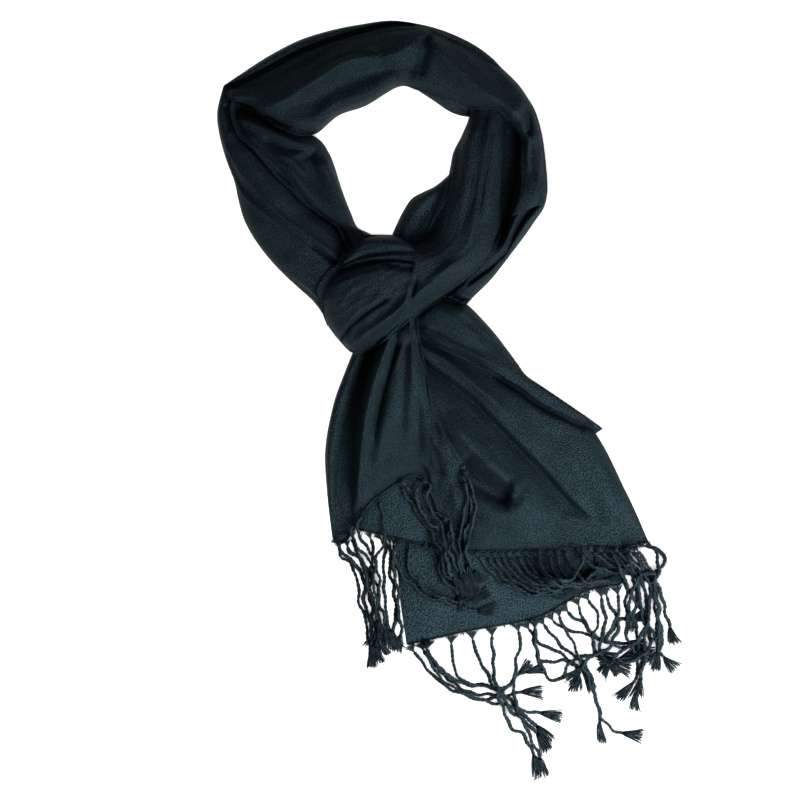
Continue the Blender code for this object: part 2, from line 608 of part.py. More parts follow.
def path_heights(field, track, half_width):
    """Heights of a tassel's underside at its stations, clear of all that its spans cross."""
    heights = []
    wide = field.widened(1)
    shares = np.linspace(0, 1, SPAN_STATIONS)[:, None]
    for start, end in zip(track[:-1], track[1:]):
        side = np.array([end[1] - start[1], start[0] - end[0]]) / np.linalg.norm(end - start)
        highest = 0.0
        for offset in np.linspace(-half_width, half_width, 5):
            spots = start + side * offset + shares * (end - start)
            columns = np.rint(spots[:, 0]).astype(int) - FIELD_X0
            rows = np.rint(spots[:, 1]).astype(int) - FIELD_Y0
            highest = max(highest, wide[columns, rows].max())
        heights.append(highest)
    heights = [heights[0]] + [max(pair) for pair in zip(heights[:-1], heights[1:])] + [heights[-1]]
    return np.maximum(np.array(heights) + SEAM_GAP, FLOOR_CLEARANCE)


def ring(center, side, low, half_width, height):
    """Four corners of a cross-section: inner low, inner high, outer high, outer low."""
    near = center - side * half_width
    far = center + side * half_width
    return [(near[0], near[1], low), (near[0], near[1], low + height),
            (far[0], far[1], low + height), (far[0], far[1], low)]


def set_ring(verts, corners):
    for vert, corner in zip(verts, corners):
        vert.co = [value * MM for value in corner]


def grow(mesh, face, corners):
    """Extrude a four-sided face to new corners; gives back the new face."""
    grown = bmesh.ops.extrude_discrete_faces(mesh, faces=[face])["faces"][0]
    set_ring(grown.verts, corners)
    return grown


def root_slots(roots, hem_length):
    """Places along a hem where its strip is divided, and the tassel that each slot holds."""
    marks = [0.0]
    slots = {}
    for index in np.argsort(roots):
        start = max(roots[index] - STRAND_WIDTH / 2, marks[-1] + ROOT_GAP)
        if start + STRAND_WIDTH > hem_length - STRIP_END:
            break
        slots[len(marks)] = index
        marks.extend([start, start + STRAND_WIDTH])
    marks.append(hem_length)
    return marks, slots


def lay_fringe(name, hem, guides, field, collection):
    """A backing strip along the hem with a tassel drawn out of its outer side at each root."""
    strands = spread_strands(guides)
    steps = np.linalg.norm(np.diff(hem, axis=0), axis=1)
    length = np.concatenate([[0], np.cumsum(steps)])
    roots = [length[np.argmin(np.linalg.norm(hem - strand[0], axis=1))] for strand in strands]
    marks, slots = root_slots(roots, length[-1])

    def on_hem(place):
        return np.array([np.interp(place, length, hem[:, axis]) for axis in (0, 1)])

    def strip_ring(place, low):
        course = on_hem(min(place + HEM_REACH, length[-1])) - on_hem(max(place - HEM_REACH, 0))
        outward = np.array([course[1], -course[0]]) / np.linalg.norm(course)
        middle = on_hem(place) + outward * (SEAM_GAP + STRIP_WIDTH / 2)
        return ring(middle, outward, low, STRIP_WIDTH / 2, STRIP_HEIGHT)

    track = np.array([on_hem(place) for place in marks])
    lows = path_heights(field, track, SEAM_GAP + STRIP_WIDTH)
    mesh = bmesh.new()
    bmesh.ops.create_grid(mesh, x_segments=1, y_segments=1, size=1)
    cap = mesh.faces[:][0]
    set_ring(cap.verts, strip_ring(marks[0], lows[0]))
    outer_faces = []
    for place, low in zip(marks[1:], lows[1:]):
        before = list(cap.verts)
        cap = grow(mesh, cap, strip_ring(place, low))
        after = list(cap.verts)
        outer_faces.append(mesh.faces.get([before[2], after[2], after[3], before[3]]))
    bmesh.ops.holes_fill(mesh, edges=[edge for edge in mesh.edges if edge.is_boundary])
    field.add_mesh(mesh)
    for slot, index in slots.items():
        draw_tassel(mesh, outer_faces[slot], strands[index], field)
    bmesh.ops.triangulate(mesh, faces=mesh.faces[:])
    return finish_object(name, mesh, "fringe", collection)


def draw_tassel(mesh, root, strand, field):
    """Draw one tassel out of a face of the strip along a smooth course, down to its tuft."""
    begin = np.array(root.calc_center_median())[:2] / MM
    course = np.vstack([begin, strand[1:]])
    track = smooth_through(course, even_places(course, STRAND_SPANS + 1))
    halves = np.full(len(track), STRAND_WIDTH / 2)
    halves[-1] *= TUFT_SPREAD
    lows = path_heights(field, track, halves[-1])
    heading = np.gradient(track, axis=0)
    heading = heading / np.linalg.norm(heading, axis=1)[:, None]
    sides = np.stack([heading[:, 1], -heading[:, 0]], axis=1)

    corners = np.array([vert.co for vert in root.verts]) / MM
    signs = np.where((corners[:, :2] - begin) @ sides[0] > 0, 1, -1)
    levels = {sign: corners[signs == sign, 2].mean() for sign in (-1, 1)}
    raised = [corner[2] > levels[sign] for corner, sign in zip(corners, signs)]
    for number in range(1, STRAND_SPANS + 1):
        spots = track[number] + signs[:, None] * sides[number] * halves[number]
        heights = lows[number] + STRAND_HEIGHT * np.array(raised)
        root = grow(mesh, root, np.column_stack([spots, heights]).tolist())

    rims = [track + sign * sides * halves[:, None] for sign in (-1, 1)]
    rims = [np.column_stack([rim, lows + STRAND_HEIGHT]) for rim in rims]
    for number in range(STRAND_SPANS):
        field.add_triangle(np.array([rims[0][number], rims[1][number], rims[1][number + 1]]))
        field.add_triangle(np.array([rims[0][number], rims[1][number + 1], rims[0][number + 1]]))


def hem_of(table):
    """The hem of a stretch as a line of points, from its left edge to its right edge."""
    tips = np.array([line[-1] for line in edge_lines(table)])
    return smooth_through(tips, np.linspace(0, len(tips) - 1, HEM_POINTS))


def clear_scene():
    for thing in list(bpy.data.objects):
        bpy.data.objects.remove(thing, do_unlink=True)


def build_stole():
    clear_scene()
    collection = bpy.data.collections.new("stole")
    bpy.context.scene.collection.children.link(collection)
    field = HeightField()

    def lay(name, table, folds, **options):
        return lay_stretch(name, table, folds, field, collection, **options)

    lay("neck_right_under", NECK_RIGHT_UNDER, [], across=9, along=9, ends=(6, 6), kind="under")
    lay("under_panel", UNDER_PANEL, UNDER_PANEL_FOLDS, across=19, along=12,
        crown=UNDER_PANEL_CROWN, round_power=9, kind="under")
    lay_fringe("fringe_under", hem_of(UNDER_PANEL), FRINGE_UNDER, field, collection)
    lay("tail_left_under", TAIL_LEFT_UNDER, [], across=11, along=10, round_power=8, kind="under")
    lay_fringe("fringe_second", hem_of(TAIL_LEFT_UNDER), FRINGE_SECOND, field, collection)
    lay("tail_right", TAIL_RIGHT, TAIL_RIGHT_FOLDS, across=23, along=21,
        crown=TAIL_RIGHT_CROWN, round_power=5, ends=(10, 14))
    lay("tail_right_edge", TAIL_RIGHT_EDGE, TAIL_RIGHT_EDGE_FOLDS, across=7, along=18, ends=(6, 6))
    lay_fringe("fringe_right", hem_of(TAIL_RIGHT), FRINGE_RIGHT, field, collection)
    lay("tail_left", TAIL_LEFT, TAIL_LEFT_FOLDS, across=25, along=18,
        crown=TAIL_LEFT_CROWN, round_power=5, ends=(8, 12))
    lay_fringe("fringe_left", hem_of(TAIL_LEFT), FRINGE_LEFT, field, collection)
    lay("neck_back_under", NECK_BACK_UNDER, [], across=9, along=20, ends=(6, 6), kind="under")
    lay("neck_right_outer", NECK_RIGHT_OUTER, NECK_RIGHT_OUTER_FOLDS, across=9, along=20,
        ends=(6, 6))
    lay("knot_wrap", KNOT_WRAP, KNOT_WRAP_FOLDS, across=15, along=28, ends=(6, 6))
    lay("neck_left_outer", NECK_LEFT_OUTER, NECK_LEFT_OUTER_FOLDS, across=11, along=24,
        crown=NECK_LEFT_OUTER_CROWN, ends=(6, 6))
    lay("neck_left", NECK_LEFT, NECK_LEFT_FOLDS, across=11, along=20, ends=(8, 8))
    lay("neck_back", NECK_BACK, NECK_BACK_FOLDS, across=13, along=36, ends=(6, 6))
    lay("knot_collar", KNOT_COLLAR, KNOT_COLLAR_FOLDS, across=7, along=12, ends=(4, 4))


build_stole()
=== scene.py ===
# %% [markdown]
# # A dark fringed stole, doubled and pulled through its own loop
#
# The real thing is one long piece of light twill with twisted tassels on both ends. It is folded
# in half, laid round a neck, and both ends are drawn through the loop that the fold makes. Here
# it lies on a table and is seen from straight above. What shows is thirteen stretches of the same
# cloth that pass over and under each other, so the lesson lays them one by one, from the lowest
# to the highest, as one would arrange them by hand. Every stretch is a thin sheet with a rounded
# form, a few large folds and many small ones, and it rests on what was laid before it.

import math
from collections import namedtuple

import bmesh
import bpy
import numpy as np
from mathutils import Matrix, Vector, noise


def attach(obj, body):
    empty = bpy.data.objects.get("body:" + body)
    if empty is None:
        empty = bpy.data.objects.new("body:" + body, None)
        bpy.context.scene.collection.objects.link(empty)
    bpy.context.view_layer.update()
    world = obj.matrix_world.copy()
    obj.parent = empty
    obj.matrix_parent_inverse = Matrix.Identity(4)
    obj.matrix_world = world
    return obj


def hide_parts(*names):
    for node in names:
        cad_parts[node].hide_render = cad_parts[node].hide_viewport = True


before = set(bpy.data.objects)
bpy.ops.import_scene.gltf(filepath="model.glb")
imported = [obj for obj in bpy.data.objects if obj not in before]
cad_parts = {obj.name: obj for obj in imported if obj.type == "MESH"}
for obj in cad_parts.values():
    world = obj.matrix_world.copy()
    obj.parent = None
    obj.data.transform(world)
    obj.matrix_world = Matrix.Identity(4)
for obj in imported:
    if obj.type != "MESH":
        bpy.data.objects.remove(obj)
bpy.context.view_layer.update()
MM = 0.001

# %% [markdown]
# ## Camera, table and light
#
# The photo looks straight down, so a long lens high above the middle of the frame shows the
# outline with almost no perspective. The photo is 640 mm wide at the cloth, and its middle lies
# 39 mm to the left of the part's origin. Dark cloth shows its folds only where light grazes it,
# so the strongest soft lamp stands at the front right, and weaker ones fill the other sides. They
# light the cloth alone. The pale table has a lamp of its own, which keeps it an even white.

# %% Camera
def placed(name, data):
    """A new object in the scene."""
    thing = bpy.data.objects.new(name, data)
    bpy.context.scene.collection.objects.link(thing)
    return thing


LENS_HEIGHT = 6.0
PHOTO_WIDTH = 0.640
camera_data = bpy.data.cameras.new("camera")
camera_data.sensor_width = 36
camera_data.lens = 36 * LENS_HEIGHT / PHOTO_WIDTH
camera_data.clip_end = 20
camera = placed("camera", camera_data)
camera.location = (-0.0388, -0.0004, LENS_HEIGHT)
bpy.context.scene.camera = camera
print("lens", round(camera_data.lens), "mm")

# %% Table top
FLOOR_DROP = 0.0003
floor_mesh = bmesh.new()
bmesh.ops.create_grid(floor_mesh, x_segments=1, y_segments=1, size=4)
bmesh.ops.translate(floor_mesh, verts=floor_mesh.verts, vec=(0, 0, -FLOOR_DROP))
floor_data = bpy.data.meshes.new("table_top")
floor_mesh.to_mesh(floor_data)
floor_mesh.free()
floor = placed("table_top", floor_data)
paint = bpy.data.materials.new("pale_table")
paint.use_nodes = True
paint.node_tree.nodes["Principled BSDF"].inputs["Base Color"].default_value = (0.86, 0.86, 0.86, 1)
paint.node_tree.nodes["Principled BSDF"].inputs["Roughness"].default_value = 0.9
floor_data.materials.append(paint)

# %% Lamps
Lamp = namedtuple("Lamp", "name bearing elevation distance size power")
LAMPS = [
    Lamp("front_right", -45, 52, 0.80, 0.45, 14.0),
    Lamp("right_high", 0, 52, 0.80, 0.45, 5.0),
    Lamp("right_low", 0, 30, 0.80, 0.45, 3.3),
    Lamp("left", 180, 30, 0.90, 0.45, 3.3),
    Lamp("front", -95, 35, 0.90, 0.45, 2.8),
    Lamp("back", 90, 30, 1.50, 0.70, 3.2),
]
LAMP_TARGET = Vector((0.03, -0.14, 0.0))
TABLE_LAMP_HEIGHT = 2.8


def softbox(name, place, size, power):
    """A square soft lamp at a place in metres, turned to the middle of the cloth."""
    light = bpy.data.lights.new(name, "AREA")
    light.size = size
    light.energy = power
    holder = placed(name, light)
    holder.location = place
    holder.rotation_euler = (LAMP_TARGET - place).to_track_quat("-Z", "Y").to_euler()
    return holder


def link_to_table(lamp, state):
    """Lets a lamp light the table alone, or all but the table."""
    receivers = bpy.data.collections.new("receivers_" + lamp.name)
    receivers.objects.link(floor)
    lamp.light_linking.receiver_collection = receivers
    receivers.collection_objects[0].light_linking.link_state = state


for lamp in LAMPS:
    bearing, rise = math.radians(lamp.bearing), math.radians(lamp.elevation)
    level = lamp.distance * math.cos(rise)
    away = Vector((level * math.cos(bearing), level * math.sin(bearing), lamp.distance * math.sin(rise)))
    link_to_table(softbox(lamp.name, LAMP_TARGET + away, lamp.size, lamp.power), "EXCLUDE")
link_to_table(softbox("table_lamp", Vector((0, 0, TABLE_LAMP_HEIGHT)), 2.0, 104), "INCLUDE")
world = bpy.data.worlds.new("pale_room")
world.use_nodes = True
world.node_tree.nodes["Background"].inputs["Color"].default_value = (1, 1, 1, 1)
world.node_tree.nodes["Background"].inputs["Strength"].default_value = 0.18
bpy.context.scene.world = world
bpy.context.scene.view_settings.view_transform = "Standard"
bpy.context.scene.view_settings.look = "High Contrast"
print(len(LAMPS), "soft lamps round the cloth and one over the table")

# %% [markdown]
# ## The cloth and the yarn
#
# The stole is a worsted twill in near black with a cold cast. From close by one sees fine
# diagonal ribs, a grain of single fibres, and a faint crinkle left by washing. Its colour hardly
# changes, so the look comes from a soft sheen and from relief. Both follow the weave, so they are
# laid out on the cloth's own map: U runs across a stretch and V along it, one unit to a metre.
# The lowest layers are the same cloth, but their twill is painted about 1.4 times lighter. This is
# painted light, which brightens them where the lamps leave them too dark.

# %% Nodes that all the finishes share
def shader_of(name, color, roughness):
    """A new material, its node tree and its shader, with the numbers that are the same all over."""
    material = bpy.data.materials.new(name)
    material.use_nodes = True
    shader = material.node_tree.nodes["Principled BSDF"]
    shader.inputs["Base Color"].default_value = (*color, 1)
    shader.inputs["Roughness"].default_value = roughness
    shader.inputs["Specular IOR Level"].default_value = 0.12
    shader.inputs["Specular Tint"].default_value = (0.62, 0.88, 1.0, 1)
    return material, material.node_tree, shader


def pattern(tree, kind, source, scale, **settings):
    """A texture node that reads a coordinate through a Mapping node with its own scale."""
    mapping = tree.nodes.new("ShaderNodeMapping")
    mapping.inputs["Scale"].default_value = scale
    tree.links.new(source, mapping.inputs["Vector"])
    texture = tree.nodes.new(kind)
    for socket, value in settings.items():
        texture.inputs[socket].default_value = value
    tree.links.new(mapping.outputs["Vector"], texture.inputs["Vector"])
    return texture, mapping


def tint_by(tree, shader, factor, dark, light, span=(0.3, 0.72)):
    """The base colour runs from dark to light over a span of a texture's value."""
    ramp = tree.nodes.new("ShaderNodeValToRGB")
    ramp.color_ramp.elements[0].position = span[0]
    ramp.color_ramp.elements[0].color = (*dark, 1)
    ramp.color_ramp.elements[1].position = span[1]
    ramp.color_ramp.elements[1].color = (*light, 1)
    tree.links.new(factor, ramp.inputs["Fac"])
    tree.links.new(ramp.outputs["Color"], shader.inputs["Base Color"])


def raise_by(tree, shader, height, distance, strength):
    """Adds a layer of relief under those that the shader already has."""
    bump = tree.nodes.new("ShaderNodeBump")
    bump.inputs["Distance"].default_value = distance
    bump.inputs["Strength"].default_value = strength
    tree.links.new(height, bump.inputs["Height"])
    before = shader.inputs["Normal"].links
    if before:
        tree.links.new(before[0].from_socket, bump.inputs["Normal"])
    tree.links.new(bump.outputs["Normal"], shader.inputs["Normal"])


# %% Twill
TWILL_PITCH = 0.0011
FLECK = 0.0011       # size of the light and dark flecks of single fibres


def mixed(tree, layers):
    """The weighted sum of several patterns, spread out so that it fills 0 to 1."""
    total = None
    for texture, weight in layers:
        part = tree.nodes.new("ShaderNodeMath")
        part.operation = "MULTIPLY_ADD"
        part.inputs[1].default_value = weight
        part.inputs[2].default_value = 0
        tree.links.new(texture.outputs["Fac"], part.inputs[0])
        if total:
            tree.links.new(total, part.inputs[2])
        total = part.outputs["Value"]
    return total


def twill(name, dark, light, roughness):
    material, tree, shader = shader_of(name, light, roughness)
    weave_map = tree.nodes.new("ShaderNodeUVMap")
    weave_map.uv_map = "weave"
    place = weave_map.outputs["UV"]
    crinkle, _ = pattern(tree, "ShaderNodeTexNoise", place, (1, 0.6, 1), Scale=170, Detail=3)
    slub, _ = pattern(tree, "ShaderNodeTexNoise", place, (1, 0.1, 1), Scale=800, Detail=2)
    fleck, _ = pattern(tree, "ShaderNodeTexNoise", place, (1, 1, 1), Scale=1 / FLECK, Detail=1)
    cloud, _ = pattern(tree, "ShaderNodeTexNoise", place, (1, 1, 1), Scale=60, Detail=3)
    ribs, turn = pattern(tree, "ShaderNodeTexWave", place, (1, 1, 1), Scale=0.314 / TWILL_PITCH)
    turn.inputs["Rotation"].default_value = (0, 0, math.radians(52))
    raise_by(tree, shader, crinkle.outputs["Fac"], distance=0.0012, strength=0.55)
    raise_by(tree, shader, slub.outputs["Fac"], distance=0.00025, strength=0.4)
    raise_by(tree, shader, fleck.outputs["Fac"], distance=0.0009, strength=1.0)
    raise_by(tree, shader, ribs.outputs["Fac"], distance=0.00012, strength=0.5)
    blend = mixed(tree, [(fleck, 0.78), (slub, 0.1), (cloud, 0.12)])
    tint_by(tree, shader, blend, dark, light, span=(0.41, 0.59))
    return material


upper_twill = twill("upper_twill", (0.0024, 0.0042, 0.0050), (0.0150, 0.0235, 0.0280), 0.62)
# the same twill painted about 1.4 times lighter for the lowest layers: painted light, not a different cloth
under_twill_painted_light = twill("under_twill_painted_light", (0.0034, 0.0058, 0.0070), (0.0215, 0.0335, 0.0400), 0.62)
print("twill ribs every", TWILL_PITCH / MM, "mm and flecks of", FLECK / MM, "mm")

# %% Twisted yarn
def yarn(name, dark, light):
    material, tree, shader = shader_of(name, light, 0.62)
    where = tree.nodes.new("ShaderNodeTexCoord").outputs["Object"]
    fibre, _ = pattern(tree, "ShaderNodeTexNoise", where, (1, 1, 1), Scale=1400, Detail=3)
    patch, _ = pattern(tree, "ShaderNodeTexNoise", where, (1, 1, 1), Scale=220, Detail=2)
    raise_by(tree, shader, fibre.outputs["Fac"], distance=0.0004, strength=0.8)
    tint_by(tree, shader, patch.outputs["Fac"], dark, light)
    return material


tassel_yarn = yarn("tassel_yarn", (0.0070, 0.0108, 0.0128), (0.0180, 0.0262, 0.0305))
print("materials", [material.name for material in (upper_twill, under_twill_painted_light, tassel_yarn)])

# %% [markdown]
# ## How a stretch gets its plan
#
# Seen from above, a stretch of draped cloth is a band between two edges. A row of the table below
# is one section of the band: its left and right edge and the height of its crown. A broad end that
# fans out takes several lines instead, which run along its pleats. A smooth curve through the rows
# turns a short table into a fine net. All tables are in millimetres.

# %% Rows of the tables
Section = namedtuple("Section", "left_x left_y right_x right_y crown")
Line = namedtuple("Line", "points")


def smooth_through(points, places):
    """Values of a smooth curve through the points, at places counted in points from 0."""
    points = np.asarray(points, dtype=float)
    last = len(points) - 1
    first = np.clip(np.floor(places).astype(int), 0, last - 1)
    share = (places - first)[:, None]
    before = np.where(first[:, None] > 0, points[np.maximum(first - 1, 0)], 2 * points[0] - points[1])
    after = np.where(first[:, None] + 2 <= last,
                     points[np.minimum(first + 2, last)], 2 * points[last] - points[last - 1])
    start = points[first]
    end = points[first + 1]
    bend = 2 * before - 5 * start + 4 * end - after
    twist = 3 * start - 3 * end + after - before
    return start + 0.5 * share * ((end - before) + share * (bend + share * twist))


def length_along(points):
    """Length of the way from the first of the points to each of them."""
    steps = np.linalg.norm(np.diff(points, axis=0), axis=1)
    return np.concatenate([[0], np.cumsum(steps)])


def even_places(points, count):
    """Places along a smooth curve that are evenly spaced by length."""
    fine = np.linspace(0, len(points) - 1, 40 * len(points))
    length = length_along(smooth_through(points, fine))
    return np.interp(np.linspace(0, length[-1], count), length, fine)


# %% The net of a stretch
CLOSER_EDGES = 0.6  # share by which the lines across a stretch crowd towards its edges


def edge_lines(table):
    """The two edges of a table of sections, or the lines of a fan, as arrays of points."""
    if isinstance(table[0], Line):
        return [np.array(line.points, dtype=float) for line in table]
    left = np.array([(row.left_x, row.left_y) for row in table], dtype=float)
    right = np.array([(row.right_x, row.right_y) for row in table], dtype=float)
    return [left, right]


def plan_grid(lines, across, along):
    """Plan positions of a stretch as an array of along x across points, and its places."""
    places = even_places(sum(lines) / len(lines), along)
    tracks = np.array([smooth_through(line, places) for line in lines])
    even = np.linspace(0, 1, across)
    crowded = (1 - np.cos(math.pi * even)) / 2
    shares = CLOSER_EDGES * crowded + (1 - CLOSER_EDGES) * even
    columns = shares * (len(lines) - 1)
    if len(lines) == 2:
        grid = tracks[0][:, None] * (1 - shares)[None, :, None]
        grid = grid + tracks[1][:, None] * shares[None, :, None]
    else:
        grid = np.array([smooth_through(tracks[:, row], columns) for row in range(along)])
    return grid, places, shares


# %% [markdown]
# ## How a stretch gets its folds
#
# A fold is a line along the cloth with a rise, or a trough where the rise is negative. It reaches
# further on one side than on the other, because real folds lean: a short reach makes a steep flank
# that falls into shadow, a long one makes a broad lit back. The sharp share turns a soft swell into
# a crease. Between the large folds the cloth is never quite smooth, so a little drawn-out noise
# adds the small uneven wrinkles that run the way the cloth is pulled.

# %% Folds
Fold = namedtuple("Fold", "points rise left right sharp fade_in fade_out")
FOLD_STATIONS = 48
FOLD_SPAN = 3.2      # a fold is followed to this many times its reach
CREASE_FALL = 1.6    # how fast the sharp share of a fold dies away
FINER_ACROSS, FINER_ALONG, FINER_SHARE = 2.3, 1.7, 0.45  # the smaller of two sizes of wrinkle


def fold_relief(folds, plan):
    """Height that the folds add at each plan point."""
    spots = plan.reshape(-1, 2)
    relief = np.zeros(len(spots))
    for fold in folds:
        points = np.array(fold.points, dtype=float)
        track = smooth_through(points, even_places(points, FOLD_STATIONS))
        widest = FOLD_SPAN * max(fold.left, fold.right)
        near = np.all((spots > track.min(axis=0) - widest) & (spots < track.max(axis=0) + widest), axis=1)
        starts, steps = track[:-1], np.diff(track, axis=0)
        away = spots[near][:, None] - starts[None]
        share = np.clip((away * steps).sum(axis=2) / (steps ** 2).sum(axis=1), 0, 1)
        offset = away - share[..., None] * steps
        best = np.argmin((offset ** 2).sum(axis=2), axis=1)
        rows = np.arange(len(best))
        offset = offset[rows, best]
        along = (best + share[rows, best]) / len(steps)
        side = steps[best, 0] * offset[:, 1] - steps[best, 1] * offset[:, 0]
        distance = np.linalg.norm(offset, axis=1) / np.where(side > 0, fold.left, fold.right)
        form = (1 - fold.sharp) * np.exp(-distance ** 2) + fold.sharp * np.exp(-CREASE_FALL * distance)
        swell = np.clip(along / max(fold.fade_in, 0.001), 0, 1)
        swell = swell * np.clip((1 - along) / max(fold.fade_out, 0.001), 0, 1)
        relief[near] += fold.rise * swell * swell * (3 - 2 * swell) * form
    return relief.reshape(plan.shape[:2])


def wrinkles(weave, width, length, height, seed):
    """Small uneven wrinkles, drawn out along the cloth. width and length are their usual sizes."""
    flat = weave.reshape(-1, 2) / MM
    values = [noise.noise(Vector((u / width + seed, v / length, 0))) for u, v in flat]
    finer = [noise.noise(Vector((FINER_ACROSS * u / width, FINER_ALONG * v / length + seed, 4)))
             for u, v in flat]
    return height * (np.array(values) + FINER_SHARE * np.array(finer)).reshape(weave.shape[:2])


# %% [markdown]
# ## How a stretch comes to rest
#
# The table keeps a map of the highest cloth over each square millimetre. Before a stretch is laid,
# the map is widened a little and smoothed, which is what cloth does: it spans small hollows and
# slopes down from an edge below it. The stretch never dips below that cover. Its two long edges are
# turned under, as the edges of gathered cloth are, so that no thin rim shows from the side.

# %% The map of what lies below
FIELD_X0, FIELD_Y0 = -210, -330
FIELD_WIDTH, FIELD_LENGTH = 421, 661
SPREAD = 3           # by which the map is widened and smoothed, mm
BETWEEN = (0, 0.34, 0.67)  # shares of the way from one point of a net to the next


class ClothMap:
    """Highest cloth over each square millimetre of the table."""

    def __init__(self):
        self.top = np.zeros((FIELD_WIDTH, FIELD_LENGTH))

    def cells(self, places):
        spots = np.rint(places).astype(int)
        return (np.clip(spots[..., 0] - FIELD_X0, 0, FIELD_WIDTH - 1),
                np.clip(spots[..., 1] - FIELD_Y0, 0, FIELD_LENGTH - 1))

    def add_net(self, net):
        """Adds a net of points, with a few more between each four of them."""
        for a in BETWEEN:
            for b in BETWEEN:
                inner = (1 - a) * (1 - b) * net[:-1, :-1] + a * (1 - b) * net[1:, :-1]
                inner = inner + (1 - a) * b * net[:-1, 1:] + a * b * net[1:, 1:]
                np.maximum.at(self.top, self.cells(inner[..., :2]), inner[..., 2])

    def widened(self, reach):
        wide = self.top.copy()
        for axis in (0, 1):
            around = wide.copy()
            for shift in range(1, reach + 1):
                np.maximum(around, np.roll(wide, shift, axis), out=around)
                np.maximum(around, np.roll(wide, -shift, axis), out=around)
            wide = around
        return wide

    def cover(self):
        """The widened map, smoothed: nowhere lower than the cloth below."""
        smooth = self.widened(SPREAD)
        for axis in (0, 1):
            smooth = sum(np.roll(smooth, shift, axis) for shift in range(-SPREAD, SPREAD + 1))
            smooth = smooth / (2 * SPREAD + 1)
        return smooth

    def heights(self, cover, places):
        """Heights of a cover at any places, between its cells."""
        x = np.clip(places[..., 0] - FIELD_X0, 0, FIELD_WIDTH - 1.001)
        y = np.clip(places[..., 1] - FIELD_Y0, 0, FIELD_LENGTH - 1.001)
        column, row = x.astype(int), y.astype(int)
        right, up = x - column, y - row
        low = cover[column, row] * (1 - right) + cover[column + 1, row] * right
        high = cover[column, row + 1] * (1 - right) + cover[column + 1, row + 1] * right
        return low * (1 - up) + high * up


below = ClothMap()

# %% Laying a stretch
SHEET = 0.9          # thickness of the cloth with its nap, mm
CLEARANCE = 0.25     # between two layers, mm
FOLD_DEPTH = 7       # cloth thinner than this takes its folds in part, mm
TURN_START = 0.6     # from a long edge to where it has turned down, mm
TURN_UNDER = 5       # how far a long edge is turned under, mm
SOFT_REST = 1        # how softly a form passes into the rest on what is below, mm
SEED_STEP = 7.3      # between the wrinkles of one stretch and of the next
stretches = {}


def crowns(table, places, crown):
    if crown is None:
        crown = [row.crown for row in table]
    return smooth_through(np.array(crown, dtype=float)[:, None], places)[:, 0]


def end_slopes(plan, ends, gentle):
    """Share of full height near the two ends of a stretch: rounded, or a gentle slope to a hem."""
    length = length_along(plan.mean(axis=1))
    share = np.ones(len(length))
    for distance, reach, flat in ((length, ends[0], False), (length[-1] - length, ends[1], gentle)):
        if reach > 0:
            near = 1 - (1 - np.clip(distance / reach, 0, 1)) ** 2
            share = share * (near if flat else np.sqrt(near))
    return share


def weave_of(net):
    """Where each point of a net lies on the flat cloth: metres across and metres along."""
    across = np.linalg.norm(np.diff(net, axis=1), axis=2)
    across = np.concatenate([np.zeros((len(net), 1)), np.cumsum(across, axis=1)], axis=1)
    across = across - across.mean(axis=1)[:, None]
    along = length_along(net.mean(axis=1))
    return np.stack([across, np.repeat(along[:, None], net.shape[1], axis=1)], axis=2) * MM


def turned_edge(net, cover, near_left):
    """Two more columns of points that take an edge down and back under the cloth."""
    edge = net[:, 0] if near_left else net[:, -1]
    inward = (net[:, -1] - net[:, 0]) * (1 if near_left else -1)
    inward = inward[:, :2] / np.linalg.norm(inward[:, :2], axis=1)[:, None]
    columns = []
    for reach in (TURN_START, TURN_UNDER):
        spots = edge[:, :2] + inward * reach
        rest = below.heights(cover, spots) + CLEARANCE
        columns.append(np.column_stack([spots, rest])[:, None])
    return columns if near_left else columns[::-1]


# %% The sheet itself
def net_mesh(name, net):
    """A net of points in millimetres as a grid of faces, and which vertex each point became."""
    rows, columns = net.shape[:2]
    grid = bmesh.new()
    bmesh.ops.create_grid(grid, x_segments=rows - 1, y_segments=columns - 1, size=1)
    data = bpy.data.meshes.new(name)
    grid.to_mesh(data)
    grid.free()
    flat = np.empty(len(data.vertices) * 3)
    data.vertices.foreach_get("co", flat)
    order = np.lexsort((np.round(flat[1::3], 5), np.round(flat[0::3], 5)))
    places = np.empty((len(order), 3))
    places[order] = net.reshape(-1, 3) * MM
    data.vertices.foreach_set("co", places.ravel())
    return data, order


def sheet_object(name, net, weave, material):
    """A net of points as a mesh with its weave map, thickened downwards."""
    data, order = net_mesh(name, net)
    rows, columns = net.shape[:2]
    chart = np.empty((len(order), 2))
    chart[order] = weave.reshape(-1, 2)
    corners = np.empty(len(data.loops), dtype=np.int32)
    data.loops.foreach_get("vertex_index", corners)
    data.uv_layers.new(name="weave").data.foreach_set("uv", chart[corners].ravel())
    span = np.cross(net[rows // 2, columns // 2 + 1] - net[rows // 2, columns // 2],
                    net[rows // 2 + 1, columns // 2] - net[rows // 2, columns // 2])
    if span[2] > 0:
        data.flip_normals()
    data.update()
    data.shade_smooth()
    data.materials.append(material)
    piece = placed(name, data)
    thickness = piece.modifiers.new("cloth", "SOLIDIFY")
    thickness.thickness = SHEET * MM
    thickness.offset = -1
    return piece


